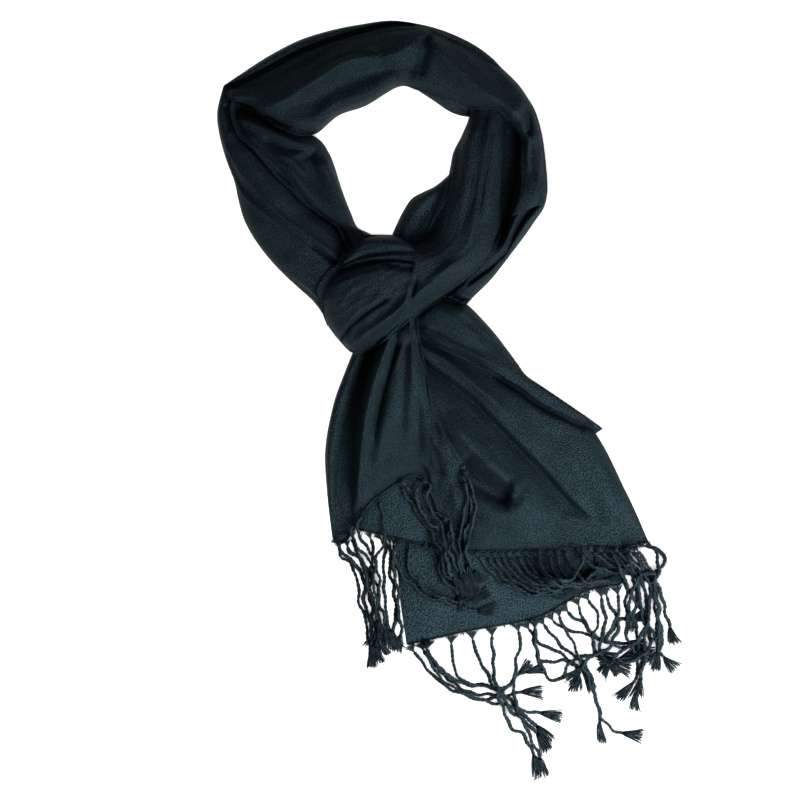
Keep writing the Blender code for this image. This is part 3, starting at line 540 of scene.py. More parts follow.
def lay(name, table, folds, across, along, crown=None, ends=(0, 0), gentle=False, round_power=2.6,
        turned=(True, True), small=(9, 46, 0.7), material=None):
    """One stretch of cloth, laid on everything before it. It stands for the node of its name."""
    plan, places, shares = plan_grid(edge_lines(table), across, along)
    bulge = np.clip(1 - np.abs(2 * shares - 1) ** round_power, 0, 1) ** 0.5
    height = crowns(table, places, crown)[:, None] * bulge[None, :]
    height = height * end_slopes(plan, ends, gentle)[:, None]
    flat_net = np.concatenate([plan, height[..., None]], axis=2)
    relief = fold_relief(folds, plan)
    relief = relief + wrinkles(weave_of(flat_net), *small, seed=len(stretches) * SEED_STEP)
    relief = relief * np.clip(height / FOLD_DEPTH, 0, 1)
    cover = below.cover()
    rest = below.heights(cover, plan) + SHEET + CLEARANCE
    floor_here = rest + np.maximum(relief, 0)
    height = height + relief
    top = 0.5 * (floor_here + height + np.sqrt((height - floor_here) ** 2 + SOFT_REST ** 2))
    net = np.concatenate([plan, top[..., None]], axis=2)
    shown = net
    if turned[0]:
        net = np.concatenate(turned_edge(shown, cover, True)[::-1] + [net], axis=1)
    if turned[1]:
        net = np.concatenate([net] + turned_edge(shown, cover, False)[::-1], axis=1)
    weave = weave_of(net)
    piece = sheet_object("sheet_" + name, net, weave, material or upper_twill)
    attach(piece, "root")
    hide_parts(name)
    below.add_net(shown)
    width = np.linalg.norm(np.diff(net, axis=1), axis=2).sum(axis=1).mean()
    length = np.linalg.norm(np.diff(net, axis=0), axis=2).sum(axis=0).mean()
    stretches[name] = piece
    print(name, "is", round(width), "x", round(length), "mm of cloth, up to", round(top.max(), 1), "mm high")


# %% [markdown]
# ## The lowest layers
#
# Three stretches lie at the bottom and show only in part: the loop's inner layer beside the knot,
# the lowest hemmed end, which is nearly flat, and a second layer below the left end. They are laid
# first. Single layers get no turned edge, because their selvedge really is thin.

# %% Inner layer beside the knot
NECK_RIGHT_UNDER = [
    Section(3, 182, 22, 172, 10),
    Section(-10, 171, 14, 160, 14),
    Section(-21, 165.5, 8, 150, 16),
    Section(-29.5, 160.5, 2, 140, 16),
    Section(-36, 151, -4, 130, 16),
    Section(-41, 141, -8, 122, 16),
    Section(-45.5, 130.5, -12, 114, 15),
    Section(-50, 118, -20, 104, 12),
]
NECK_RIGHT_UNDER_FOLDS = [
    Fold([(8, 178), (-8, 162), (-24, 140), (-34, 118)], -2.5, 4, 6, 0.2, 0.2, 0.2),
    Fold([(-6, 172), (-20, 158), (-32, 140), (-38, 124)], 1.8, 4, 5, 0.2, 0.2, 0.2),
]
lay("neck_right_under", NECK_RIGHT_UNDER, NECK_RIGHT_UNDER_FOLDS, 34, 60, ends=(6, 6),
    material=under_twill_painted_light)

# %% Lowest hemmed end
UNDER_PANEL = [
    Line([(-44, -95), (-42, -122), (-38.5, -160), (-33.5, -196)]),
    Line([(20, -95), (20, -125), (20, -158), (20, -184)]),
    Line([(70, -95), (70, -125), (70, -150), (71, -174)]),
    Line([(110, -95), (110, -118), (110, -136), (109, -153.5)]),
    Line([(150, -98), (147, -115), (143, -132), (138, -148)]),
]
UNDER_PANEL_CROWN = [3, 3, 3, 2.6]
UNDER_PANEL_FOLDS = [
    Fold([(-36, -150), (-10, -164), (14, -169), (40, -170), (70, -160)], 1.2, 5, 2, 0.3, 0.2, 0.3),
    Fold([(-30, -120), (-20, -150), (-24, -180)], -0.8, 5, 6, 0.2, 0.2, 0.3),
    Fold([(50, -160), (80, -158), (106, -146)], 1.0, 5, 4, 0.2, 0.3, 0.3),
]
lay("under_panel", UNDER_PANEL, UNDER_PANEL_FOLDS, 120, 66, crown=UNDER_PANEL_CROWN,
    round_power=9, turned=(False, False), small=(16, 22, 0.5), material=under_twill_painted_light)

# %% [markdown]
# ## Fringe
#
# At a cut end the lengthwise yarns are gathered in small bunches, and each bunch is twisted into a
# two-ply tassel about 117 mm long whose last bit is left loose. Close to the hem the bunch spreads
# in a V. A tube here is a strip of faces rolled up round its course, and its two ends taper to a
# point. A tassel is two such tubes wound round each other, with thin ones for its roots and tuft.
# Each tassel settles like a limp cord on the map of what is below it and spans the gaps between.
# Where two fringes tangle, some of their tassels still pass through each other.

# %% Tubes
def left_of(track):
    """Unit vectors to the left of a track on the plan, at each of its points."""
    ahead = np.gradient(track, axis=0)
    left = np.stack([-ahead[:, 1], ahead[:, 0]], axis=1)
    return left / np.linalg.norm(left, axis=1)[:, None]


def frames_along(path):
    """Unit vectors to the side of a path and upwards from it, at each of its points."""
    heading = np.gradient(path, axis=0)
    heading = heading / np.linalg.norm(heading, axis=1)[:, None]
    side = np.cross(heading, (0, 0, 1.0))
    side = side / np.maximum(np.linalg.norm(side, axis=1), 1e-6)[:, None]
    return side, np.cross(side, heading)


def add_tube(mesh, path, radii, sides):
    """One closed tube along a path of points in millimetres, thin to nothing at both ends."""
    side, lift = frames_along(path)
    turns = np.linspace(0, 2 * math.pi, sides + 1)
    turns[-1] = 0
    radii = np.array(radii, dtype=float)
    radii[[0, -1]] = 0
    around = np.cos(turns)[None, :, None] * side[:, None] + np.sin(turns)[None, :, None] * lift[:, None]
    points = path[:, None] + radii[:, None, None] * around
    data, _ = net_mesh("strip", points)
    mesh.from_mesh(data)
    bpy.data.meshes.remove(data)


# %% One tassel
PLY = 1.0            # radius of one ply, mm
PLY_OFFSET = 0.58    # from the middle of the tassel to the middle of a ply, mm
PITCH = 7.5          # length of one full turn of the twist, mm
STATION = 1.7        # between two rings of a ply, mm
TUFT_HAIRS = 26
TUFT_LENGTH = 17.0   # of the loose brush at the end, mm
THREAD = 0.36        # radius of a loose yarn, mm
SETTLING_ROUNDS = 70
SAG = 0.02           # by which a cord sinks between its neighbours in one round, mm
REST_GAP = 0.1       # between a cord and what it lies on, mm
SWAY_WAVES = (14, 23, 37)  # lengths of the waves of a limp cord, mm
SWAY_BEGINS = 25     # from the root to where the waves are whole, mm
Roots = namedtuple("Roots", "yarns spread length")


def settle(track, radius, lowest, begin):
    """Heights along a limp cord that lies on everything below it and spans the gaps."""
    left = left_of(track)
    needed = np.zeros(len(track))
    for offset in (-1, -0.5, 0, 0.5, 1):
        column, row = below.cells(track + left * offset * radius)
        needed = np.maximum(needed, below.top[column, row])
    needed = np.maximum(needed, lowest) + radius + REST_GAP
    heights = needed.copy()
    heights[0] = max(begin, heights[0])
    for _ in range(SETTLING_ROUNDS):
        heights[1:-1] = np.maximum(needed[1:-1], (heights[:-2] + heights[2:]) / 2 - SAG)
    return heights


def wander(track, luck):
    """A track with the small uneven waves of a limp cord, none at its root."""
    along = np.arange(len(track)) * STATION
    sway = np.zeros(len(track))
    for wave in SWAY_WAVES:
        sway += luck.uniform(0.3, 0.9) * np.sin(along / wave * 2 * math.pi + luck.uniform(0, 6))
    return track + left_of(track) * (sway * np.clip(along / SWAY_BEGINS, 0, 1))[:, None]


def add_roots(mesh, path, side, roots, luck):
    """The yarns that come out of the hem side by side and meet in the tassel."""
    last = min(max(3, int(roots.length / STATION)), len(path) - 2)
    places = np.linspace(0, last, 6)
    middle = smooth_through(path[:last + 2], places)
    for away in np.linspace(-1, 1, roots.yarns):
        width = roots.spread * away * luck.uniform(0.85, 1.1)
        yarn = middle + side[0] * width * ((1 - places / last) ** 1.7)[:, None]
        yarn[:, 2] -= 0.9 * (1 - places / last)
        add_tube(mesh, yarn, [THREAD * 0.8] * 6, 4)


def add_tuft(mesh, begin, heading, luck):
    """The frayed end: loose yarns that fan out a little and end in a blunt brush."""
    sideways = np.cross(heading, (0, 0, 1.0))
    steps = np.array([0, 0.25, 0.5, 0.75, 0.97, 1.0])[:, None]
    fan = luck.uniform(0.20, 0.36)
    bend = luck.uniform(-0.25, 0.25)
    length = TUFT_LENGTH * luck.uniform(0.85, 1.15)
    for number in range(TUFT_HAIRS):
        spot = (number + 0.5) / TUFT_HAIRS * 2 - 1
        reach = length * luck.uniform(0.82, 1.06)
        lean = spot * fan + luck.uniform(-0.05, 0.05)
        hair = begin + heading * reach * steps + sideways * reach * (lean * steps + bend * steps ** 2)
        hair = hair + sideways * (spot * 0.9 + luck.uniform(-0.7, 0.7) * np.sin(steps * luck.uniform(2, 6)))
        column, row = below.cells(hair[:, :2])
        layer = luck.uniform(0.3, 2.6) * math.sqrt(1 - 0.8 * spot ** 2)
        hair[:, 2] = np.maximum(below.top[column, row] + 0.4 + layer, hair[:, 2] * (1 - steps[:, 0]))
        add_tube(mesh, hair, [THREAD] * 6, 3)


def add_tassel(mesh, course, root_height, roots, luck):
    """Roots, twisted part and tuft of one tassel along a course of points on the plan."""
    course = np.array(course, dtype=float)
    length = np.linalg.norm(np.diff(course, axis=0), axis=1).sum()
    count = max(8, int(length / STATION))
    track = wander(smooth_through(course, even_places(course, count)), luck)
    girth = luck.uniform(0.82, 1.18)
    radius = (PLY + PLY_OFFSET) * girth
    heights = settle(track, radius, 0.2, root_height)
    path = np.column_stack([track, heights])
    side, lift = frames_along(path)
    station = np.arange(count)
    start = min(max(2, int(roots.length / STATION) - 1), count - 5)
    turn = 2 * math.pi * station * (length / count) / (PITCH * luck.uniform(0.85, 1.2)) + luck.uniform(0, 6)
    spread = PLY_OFFSET * girth * np.clip((station - start + 2) / 3, 0.4, 1)
    lumps = 1 + 0.16 * np.sin(station * luck.uniform(0.3, 0.6) + luck.uniform(0, 6))
    for ply in (0, math.pi):
        around = np.cos(turn + ply)[:, None] * side + np.sin(turn + ply)[:, None] * lift
        wound = path + spread[:, None] * around
        add_tube(mesh, wound[start:], (PLY * girth * lumps)[start:], 6)
    add_roots(mesh, path, side, roots, luck)
    heading = path[-1] - path[-4]
    add_tuft(mesh, path[-2], heading / np.linalg.norm(heading), luck)
    for offset in (-1, -0.4, 0.4, 1):
        rim = track + side[:, :2] * offset * radius
        np.maximum.at(below.top, below.cells(rim), heights + radius * math.sqrt(max(0, 1 - offset ** 2)))
    return length


# %% One whole fringe
HEM_CORD = 0.6       # radius of the last weft yarn, mm
HEM_STEP = 2         # between two points of a hem, mm
ROOT_REACH = 12.0    # a root nearer to the hem than this comes out of it, mm
COURSE_POINTS = 12
COURSE_DRIFTS = 3    # parts of a course that drift off it by up to 1 mm each
FUZZ = 1.6           # hairs to a millimetre of hem
FUZZ_RADIUS = 0.16
FUZZ_LOWEST = 0.35   # height of a hair above the table, mm


def courses_of(guides, luck):
    """The course of every tassel: its row of the table, with a little drift towards its end."""
    courses = []
    for guide in guides:
        points = np.array(guide, dtype=float)
        course = smooth_through(points, even_places(points, COURSE_POINTS))
        drift = luck.uniform(-1, 1, (COURSE_DRIFTS, 2)).repeat(COURSE_POINTS // COURSE_DRIFTS, axis=0)
        courses.append(course + drift * np.linspace(0, 1, COURSE_POINTS)[:, None])
    return courses


def lay_fringe(name, hem, guides, roots, seed):
    """All tassels of one hem, the last yarns of the hem and its fuzz, as one joined mesh."""
    luck = np.random.default_rng(seed)
    mesh = bmesh.new()
    hem = np.array(hem, dtype=float)
    hem_length = np.linalg.norm(np.diff(hem, axis=0), axis=1).sum()
    edge = smooth_through(hem, even_places(hem, max(12, int(hem_length / HEM_STEP))))
    edge_heights = settle(edge, 0.5, 0, 0)
    rope = np.column_stack([edge, edge_heights])
    add_tube(mesh, rope, [HEM_CORD] * len(rope), 5)
    below.add_net(np.stack([rope, rope + (0, 0, 0.7)], axis=1))
    lengths = []
    for course in courses_of(guides, luck):
        away = np.linalg.norm(edge - course[0], axis=1)
        nearest = np.argmin(away)
        on_hem = away[nearest] < ROOT_REACH
        if on_hem:
            course[0] = edge[nearest]
        lengths.append(add_tassel(mesh, course, edge_heights[nearest] if on_hem else 0, roots, luck))
    outward = -left_of(edge)
    for _ in range(int(hem_length * FUZZ)):
        place = luck.integers(1, len(edge) - 1)
        begin = rope[place] + np.append(outward[place] * luck.uniform(-0.6, 0.4), luck.uniform(-0.3, 0.5))
        lean = outward[place] + luck.uniform(-0.9, 0.9, 2)
        reach = luck.uniform(1.2, 4.2)
        steps = np.linspace(0, 1, 4)[:, None]
        hair = begin + np.append(lean, luck.uniform(-0.2, 0.4)) * reach * steps
        hair[:, 2] = np.maximum(hair[:, 2], FUZZ_LOWEST)
        add_tube(mesh, hair, [FUZZ_RADIUS] * 4, 3)
    bmesh.ops.remove_doubles(mesh, verts=mesh.verts, dist=1e-6)
    bmesh.ops.recalc_face_normals(mesh, faces=mesh.faces)
    data = bpy.data.meshes.new("tassels_" + name)
    mesh.to_mesh(data)
    mesh.free()
    data.shade_smooth()
    data.materials.append(tassel_yarn)
    piece = placed("tassels_" + name, data)
    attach(piece, "root")
    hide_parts(name)
    stretches[name] = piece
    print(name, "has", len(lengths), "tassels of", round(np.mean(lengths)), "mm and",
          len(data.polygons), "faces")


def hem_of(table, points=9):
    """The hem of a stretch as a line of points, from its left edge to its right edge."""
    tips = np.array([line[-1] for line in edge_lines(table)])
    return smooth_through(tips, np.linspace(0, len(tips) - 1, points))


# %% [markdown]
# ## Fringe of the lowest end
#
# Its roots stand apart against the table, and the tassels are swept together to the right, where
# they lie in two loose bundles.

# %% Lowest fringe
FRINGE_UNDER = [
    [(-32, -196), (-24, -206), (-16, -217), (-4, -227), (10, -235), (28, -240), (44, -238), (60, -235)],
    [(-24, -194), (-17, -204), (-8, -215), (2, -225), (16, -234), (34, -237), (46, -230), (58, -220)],
    [(-20, -193), (-14, -206), (-4, -218), (8, -226), (24, -228), (38, -232), (50, -241), (58, -251),
     (70, -262)],
    [(-16, -191), (-17, -204), (-11, -217), (2, -229), (20, -238), (38, -242), (54, -247), (74, -251)],
    [(2, -189), (3, -204), (6, -217), (14, -227), (30, -229), (44, -230), (54, -220), (62, -217)],
    [(18, -188), (21, -199), (27, -213), (35, -225), (42, -238), (52, -249), (62, -257), (71, -267)],
    [(36, -186), (35, -199), (36, -215), (38, -230), (42, -244), (48, -258), (60, -268), (70, -284)],
    [(56, -182), (57, -196), (54, -212), (52, -226), (52, -240), (58, -254), (65, -268), (74, -286)],
    [(62, -181), (69, -190), (79, -198), (91, -205), (100, -208), (104, -218)],
    [(69, -179), (69, -193), (71, -206), (77, -210), (88, -209), (98, -208), (108, -218)],
    [(70, -178), (70, -196), (73, -210), (77, -219), (85, -224), (93, -218), (100, -207), (116, -203)],
    [(74, -176), (82, -188), (92, -198), (103, -206), (111, -216), (116, -230), (119, -246), (121, -258)],
    [(81, -172), (87, -180), (98, -185), (110, -187), (120, -192), (132, -196), (144, -195)],
    [(88, -169), (90, -178), (97, -188), (101, -200), (108, -214), (114, -228), (118, -244), (125, -258),
     (133, -267), (139, -267)],
    [(92, -165), (100, -174), (111, -182), (117, -190), (126, -190), (134, -180), (144, -176)],
    [(103, -160), (106, -172), (112, -183), (115, -196), (122, -206), (130, -212)],
    [(109, -156), (116, -167), (120, -177), (117, -188), (116, -200), (124, -208), (138, -208)],
    [(122, -153), (123, -166), (125, -178), (122, -190), (122, -204), (129, -214)],
    [(124, -153), (130, -166), (135, -179), (134, -190), (126, -200), (114, -206), (106, -216)],
    [(135, -151), (136, -164), (134, -176), (128, -184), (127, -192), (138, -197), (150, -199)],
]
lay_fringe("fringe_under", hem_of(UNDER_PANEL), FRINGE_UNDER, Roots(13, 6.5, 10), 11)

# %% [markdown]
# ## Second layer of the left end, with its fringe
#
# A strip of the next layer shows below the slanting hem of the left end. Two of its tassels sweep
# far to the right across the lowest end.

# %% Second layer
TAIL_LEFT_UNDER = [
    Section(-64, -10, 2, -6, 6),
    Section(-67, -50, 6, -50, 5.5),
    Section(-70, -84, 8, -94, 5),
    Section(-72, -104, 10, -122, 4.6),
]
TAIL_LEFT_UNDER_FOLDS = [
    Fold([(-40, -84), (-34, -100), (-36, -114)], 1.2, 5, 5, 0.2, 0.2, 0.2),
    Fold([(-18, -80), (-14, -100), (-16, -118)], -1.0, 4, 5, 0.2, 0.2, 0.2),
]
lay("tail_left_under", TAIL_LEFT_UNDER, TAIL_LEFT_UNDER_FOLDS, 60, 70, round_power=8,
    turned=(False, False), small=(12, 20, 0.5), material=under_twill_painted_light)

# %% Second fringe
FRINGE_SECOND = [
    [(-64, -108), (-60, -122), (-62, -138), (-62, -154), (-58, -172), (-53, -190)],
    [(-58, -109), (-50, -118), (-52, -132), (-52, -148), (-50, -164), (-48, -184)],
    [(-52, -110), (-47, -122), (-46, -138), (-43, -154), (-43, -170), (-42, -186)],
    [(-47, -111), (-46, -124), (-41, -136), (-34, -146), (-22, -153), (-8, -160), (6, -163), (20, -162)],
    [(-44, -111), (-43, -126), (-37, -140), (-28, -150), (-14, -158), (2, -164), (14, -168), (24, -169)],
    [(-40, -112), (-44, -124), (-43, -140), (-41, -156), (-39, -172), (-38, -188)],
    [(-30, -114), (-32, -126), (-31, -138), (-24, -147), (-12, -155), (2, -160), (12, -161)],
    [(-20, -116), (-12, -124), (-8, -136), (-2, -146), (5, -150)],
    [(-14, -118), (-6, -126), (-6, -138), (-2, -148), (8, -155)],
    [(-10, -119), (-2, -128), (2, -140), (8, -148), (12, -152)],
]
lay_fringe("fringe_second", hem_of(TAIL_LEFT_UNDER), FRINGE_SECOND, Roots(9, 3.6, 7), 23)

# %% [markdown]
# ## Right end
#
# The right end leaves the knot in folds that fan out. A long valley runs down its middle, and near
# the hem a fold has tipped over and leaves a dark hollow with a beak. Its outer edge is folded over
# into a narrow strip that ends in a sharp corner.

# %% Right end
TAIL_RIGHT = [
    Line([(-46, 61), (-34, 22), (-22, -18), (-6, -60), (8, -98), (13, -121.5)]),
    Line([(-40, 63), (-20, 19), (0, -15), (22, -52), (46, -88), (58, -120.5)]),
    Line([(-33, 66), (-4, 16), (22, -6), (57, -41), (90, -73), (105, -118)]),
    Line([(-18, 74), (12, 38), (46, 13), (82, -12), (120, -60), (136, -118)]),
    Line([(3, 85), (30, 51), (60, 19), (112, -20), (142, -74), (160, -114)]),
]
TAIL_RIGHT_CROWN = [14, 20, 20, 18, 13, 8]
TAIL_RIGHT_FOLDS = [
    Fold([(-30, 56), (-8, 42), (14, 32), (40, 18), (72, 0), (98, -16)], -9, 3, 10, 0.3, 0.05, 0.25),
    Fold([(-40, 56), (-20, 41), (0, 30), (18, 14), (36, -2), (56, -22)], 6, 5, 4, 0.45, 0.05, 0.3),
    Fold([(-32, 40), (-16, 26), (2, 13), (19, -1), (32, -14), (46, -28), (62, -45), (78, -61), (96, -82),
          (112, -98), (130, -113)],
         -15, 2.2, 15, 0.35, 0.05, 0.1),
    Fold([(24, -2), (46, -24), (70, -48), (94, -74), (116, -96)], 2.6, 9, 2.5, 0.3, 0.2, 0.2),
    Fold([(-6, -8), (8, -26), (24, -44), (40, -60), (57, -73)], 8, 9, 7, 0.2, 0.3, 0.04),
    Fold([(4, -54), (16, -63), (30, -71), (42, -76), (52, -78)], -16, 12, 8, 0.15, 0.1, 0.12),
    Fold([(54, -70), (62, -75), (60, -84), (48, -90)], 3, 3, 6, 0.3, 0.3, 0.3),
    Fold([(20, -92), (36, -94), (54, -90), (70, -82)], 2.6, 7, 9, 0.1, 0.3, 0.3),
    Fold([(82, -92), (84, -104), (90, -116)], -6, 5, 3, 0.3, 0.3, 0.05),
    Fold([(92, -92), (100, -104), (108, -116)], 4, 3, 4, 0.3, 0.3, 0.1),
    Fold([(113, -93), (128, -106), (143, -117)], -4, 4, 5, 0.3, 0.2, 0.1),
    Fold([(84, -30), (104, -50), (124, -78), (140, -104)], 2.5, 9, 9, 0.1, 0.3, 0.2),
    Fold([(60, -8), (80, -26), (96, -44)], -1.8, 8, 8, 0.1, 0.3, 0.3),
    Fold([(70, -34), (88, -54), (104, -76)], -1.5, 6, 6, 0.1, 0.3, 0.3),
    Fold([(34, 22), (46, 13), (57, 6.5), (68, -2), (82, -10), (97, -17), (112, -25)],
         -7, 3.5, 2.4, 0.3, 0.1, 0.1),
]
lay("tail_right", TAIL_RIGHT, TAIL_RIGHT_FOLDS, 136, 170, crown=TAIL_RIGHT_CROWN, round_power=5,
    ends=(10, 34), gentle=True, small=(13, 40, 0.8))

# %% Its folded strip
TAIL_RIGHT_EDGE = [
    Section(-10, 84, -32, 61, 17),
    Section(2, 80, -20, 54, 22),
    Section(15, 75.5, -5, 47, 24),
    Section(28, 63, 10, 38.5, 23),
    Section(38, 51.6, 24, 31, 21),
    Section(47, 39.6, 36, 23, 19),
    Section(55.5, 27.6, 48, 15.5, 18),
    Section(62, 19, 59, 9, 17),
    Section(76, 9.5, 70, 0.5, 16),
    Section(90, 0, 84, -7.5, 15),
    Section(104, -9.5, 99, -14.5, 14),
    Section(117, -18.5, 112, -21.5, 13),
    Section(121.5, -24.5, 118.5, -26.5, 12),
]
TAIL_RIGHT_EDGE_FOLDS = [
    Fold([(-26, 58), (-8, 49), (12, 39), (32, 30), (52, 17)], 4.5, 5, 2, 0.4, 0.1, 0.3),
    Fold([(8, 68), (24, 56), (38, 44), (50, 30)], -3, 7, 6, 0.1, 0.2, 0.3),
    Fold([(4, 76), (18, 64), (30, 53), (40, 44)], 1.4, 1.6, 1.6, 0.4, 0.2, 0.3),
    Fold([(-2, 70), (12, 59), (26, 49)], 1.3, 1.6, 1.6, 0.4, 0.2, 0.3),
    Fold([(-10, 70), (4, 60), (18, 50)], -1.3, 1.8, 1.8, 0.4, 0.2, 0.3),
    Fold([(62, 14), (80, 2), (100, -11), (116, -21)], -2.2, 2, 2.2, 0.4, 0.3, 0.1),
]
lay("tail_right_edge", TAIL_RIGHT_EDGE, TAIL_RIGHT_EDGE_FOLDS, 40, 120, ends=(6, 6),
    small=(5, 26, 0.5))

# %% Right fringe
FRINGE_RIGHT = [
    [(22, -121), (28, -131), (36, -140), (44, -147), (56, -153), (70, -156), (84, -156)],
    [(29, -121), (34, -130), (42, -139), (50, -147), (62, -154), (76, -156), (92, -154)],
    [(35, -121), (40, -130), (47, -138), (54, -146), (66, -152), (80, -153), (92, -152)],
    [(41, -121), (45, -129), (52, -138), (60, -146), (72, -150), (86, -151), (98, -149)],
    [(47, -121), (51, -129), (58, -138), (66, -145), (76, -149), (88, -150), (100, -146)],
    [(54, -121), (58, -129), (64, -137), (72, -144), (82, -148), (94, -148), (105, -142)],
    [(60, -120), (63, -128), (69, -136), (76, -142), (84, -147), (95, -148), (105, -144)],
    [(66, -119), (69, -127), (73, -135), (80, -143), (88, -148), (99, -148), (109, -143)],
    [(70, -119), (73, -130), (78, -140), (86, -147), (97, -149), (108, -146), (115, -138)],
    [(80, -116), (81, -128), (84, -138), (91, -145), (101, -147), (111, -142), (116, -134)],
    [(86, -115), (88, -128), (90, -138), (97, -146), (107, -146), (115, -140), (120, -130)],
    [(92, -112), (94, -124), (98, -134), (106, -142), (118, -145), (130, -144)],
    [(98, -111), (104, -122), (112, -130), (120, -135), (132, -138), (146, -139)],
    [(106, -114), (107, -128), (102, -139), (94, -145), (86, -143)],
    [(112, -116), (118, -124), (128, -131), (142, -136), (154, -139)],
    [(120, -117), (128, -127), (138, -137), (142, -150), (141, -166), (142, -182), (146, -198),
     (152, -214), (148, -228)],
    [(126, -118), (136, -128), (146, -138), (150, -152), (149, -168), (150, -184), (152, -202),
     (154, -218), (148, -234)],
    [(129, -118), (134, -130), (140, -142), (146, -156), (154, -168), (160, -182), (160, -196),
     (148, -205), (134, -207)],
    [(132, -118), (142, -128), (152, -139), (157, -154), (158, -170), (157, -188), (156, -206),
     (152, -224)],
    [(138, -118), (148, -128), (158, -140), (163, -154), (166, -170), (166, -186), (161, -198),
     (150, -206), (138, -211)],
    [(140, -118), (146, -132), (152, -146), (153, -160), (156, -176), (164, -190), (167, -204)],
    [(143, -118), (152, -128), (162, -139), (166, -152), (168, -168), (170, -184), (170, -202)],
    [(146, -117), (154, -132), (160, -148), (161, -164), (158, -180), (150, -194), (140, -202),
     (130, -208)],
    [(148, -117), (156, -128), (164, -140), (168, -152), (173, -166), (177, -184)],
    [(153, -116), (164, -119), (173, -125), (171, -133), (162, -138), (152, -142), (146, -152),
     (144, -170)],
    [(158, -114), (166, -122), (167, -134), (165, -148), (166, -164), (168, -180), (168, -196),
     (171, -208)],
]
lay_fringe("fringe_right", hem_of(TAIL_RIGHT), FRINGE_RIGHT, Roots(9, 3.0, 8), 37)

# %% [markdown]
# ## Left end
#
# The left end is pleated lengthwise: a narrow outer pleat, a deep dark valley, a second valley and
# then broad flat pleats. Its hem slants upwards and the corner hangs down on the right.

# %% Left end
TAIL_LEFT = [
    Line([(-72, 50), (-82, 24), (-92, -4), (-98.5, -40), (-97, -75), (-93, -110)]),
    Line([(-58, 52), (-66, 24), (-74, -4), (-81, -36), (-82, -70), (-82, -114)]),
    Line([(-50, 54), (-54, 26), (-60, -2), (-66, -32), (-66, -58), (-67, -88)]),
    Line([(-42, 55), (-42, 26), (-44, -2), (-46, -28), (-47, -50), (-50, -73)]),
    Line([(-33, 55), (-30, 26), (-27, -2), (-25, -24), (-23, -42), (-22, -60)]),
    Line([(-28, 55), (-25, 27), (-20, 0), (-13, -28), (-8, -58), (-9, -91)]),
    Line([(-24, 55), (-18.5, 28), (-13, 2), (-2, -28), (16, -62), (13, -112)]),
]
TAIL_LEFT_CROWN = [20, 24, 22, 18, 13, 9]
IN_KNOT = [(-68, 72), (-56, 74), (-48, 76), (-41, 77), (-34, 77), (-30, 77), (-27, 77)]
TAIL_LEFT_WHOLE = [Line([start] + line.points) for line, start in zip(TAIL_LEFT, IN_KNOT)]
TAIL_LEFT_FOLDS = [
    Fold([(-48, 72), (-56, 50), (-65, 26), (-73, 0), (-79, -30), (-82, -64), (-84, -108)],
         -24, 6, 7.5, 0.15, 0.02, 0.02),
    Fold([(-78, 36), (-88, 10), (-94, -20), (-95, -60), (-93, -100)], 3, 4, 3, 0.2, 0.1, 0.05),
    Fold([(-40, 70), (-48, 50), (-56, 26), (-63, 2), (-68, -26), (-71, -56), (-73, -86)],
         6, 3, 3, 0.4, 0.05, 0.1),
    Fold([(-33, 66), (-40, 46), (-46, 26), (-53, 4), (-58, -20), (-62, -50)], -9, 4.5, 3, 0.3, 0.05, 0.4),
    Fold([(-29, 68), (-35, 50), (-41, 32), (-48, 12), (-52, -4)], 4, 2.5, 3, 0.4, 0.1, 0.5),
    Fold([(-50, -10), (-54, -34), (-58, -60)], 2.2, 4, 4, 0.2, 0.3, 0.3),
    Fold([(-31, 62), (-34, 40), (-36, 14), (-37, -14), (-36, -44)], -3.6, 4, 5, 0.25, 0.1, 0.3),
    Fold([(-31, 68), (-30, 44), (-29, 14), (-28, -10)], 2.2, 3, 3, 0.3, 0.1, 0.4),
    Fold([(-26, 10), (-24, -14), (-24, -36), (-28, -50)], -3, 4, 5, 0.2, 0.3, 0.3),
    Fold([(-27, 68), (-22, 46), (-18, 22), (-13, 0), (-8, -18)], 2.4, 4, 2, 0.3, 0.1, 0.4),
    Fold([(-14, -28), (-4, -50), (4, -70), (6, -96)], 2.4, 6, 6, 0.1, 0.3, 0.2),
    Fold([(-16, -26), (-8, -40), (4, -52), (13, -66)], 1.8, 2, 2.5, 0.4, 0.2, 0.3),
    Fold([(-22, -50), (-21, -62), (-18, -78)], -4, 4, 3, 0.3, 0.2, 0.2),
    Fold([(-18, -46), (-12, -56), (-2, -62)], -1.6, 2, 2.5, 0.4, 0.2, 0.3),
    Fold([(-12, -60), (-8, -76), (-6, -92)], -2, 4, 4, 0.2, 0.2, 0.2),
]
lay("tail_left", TAIL_LEFT_WHOLE, TAIL_LEFT_FOLDS, 116, 152, crown=[12] + TAIL_LEFT_CROWN, round_power=5,
    ends=(8, 22), gentle=True, small=(8, 34, 0.8))

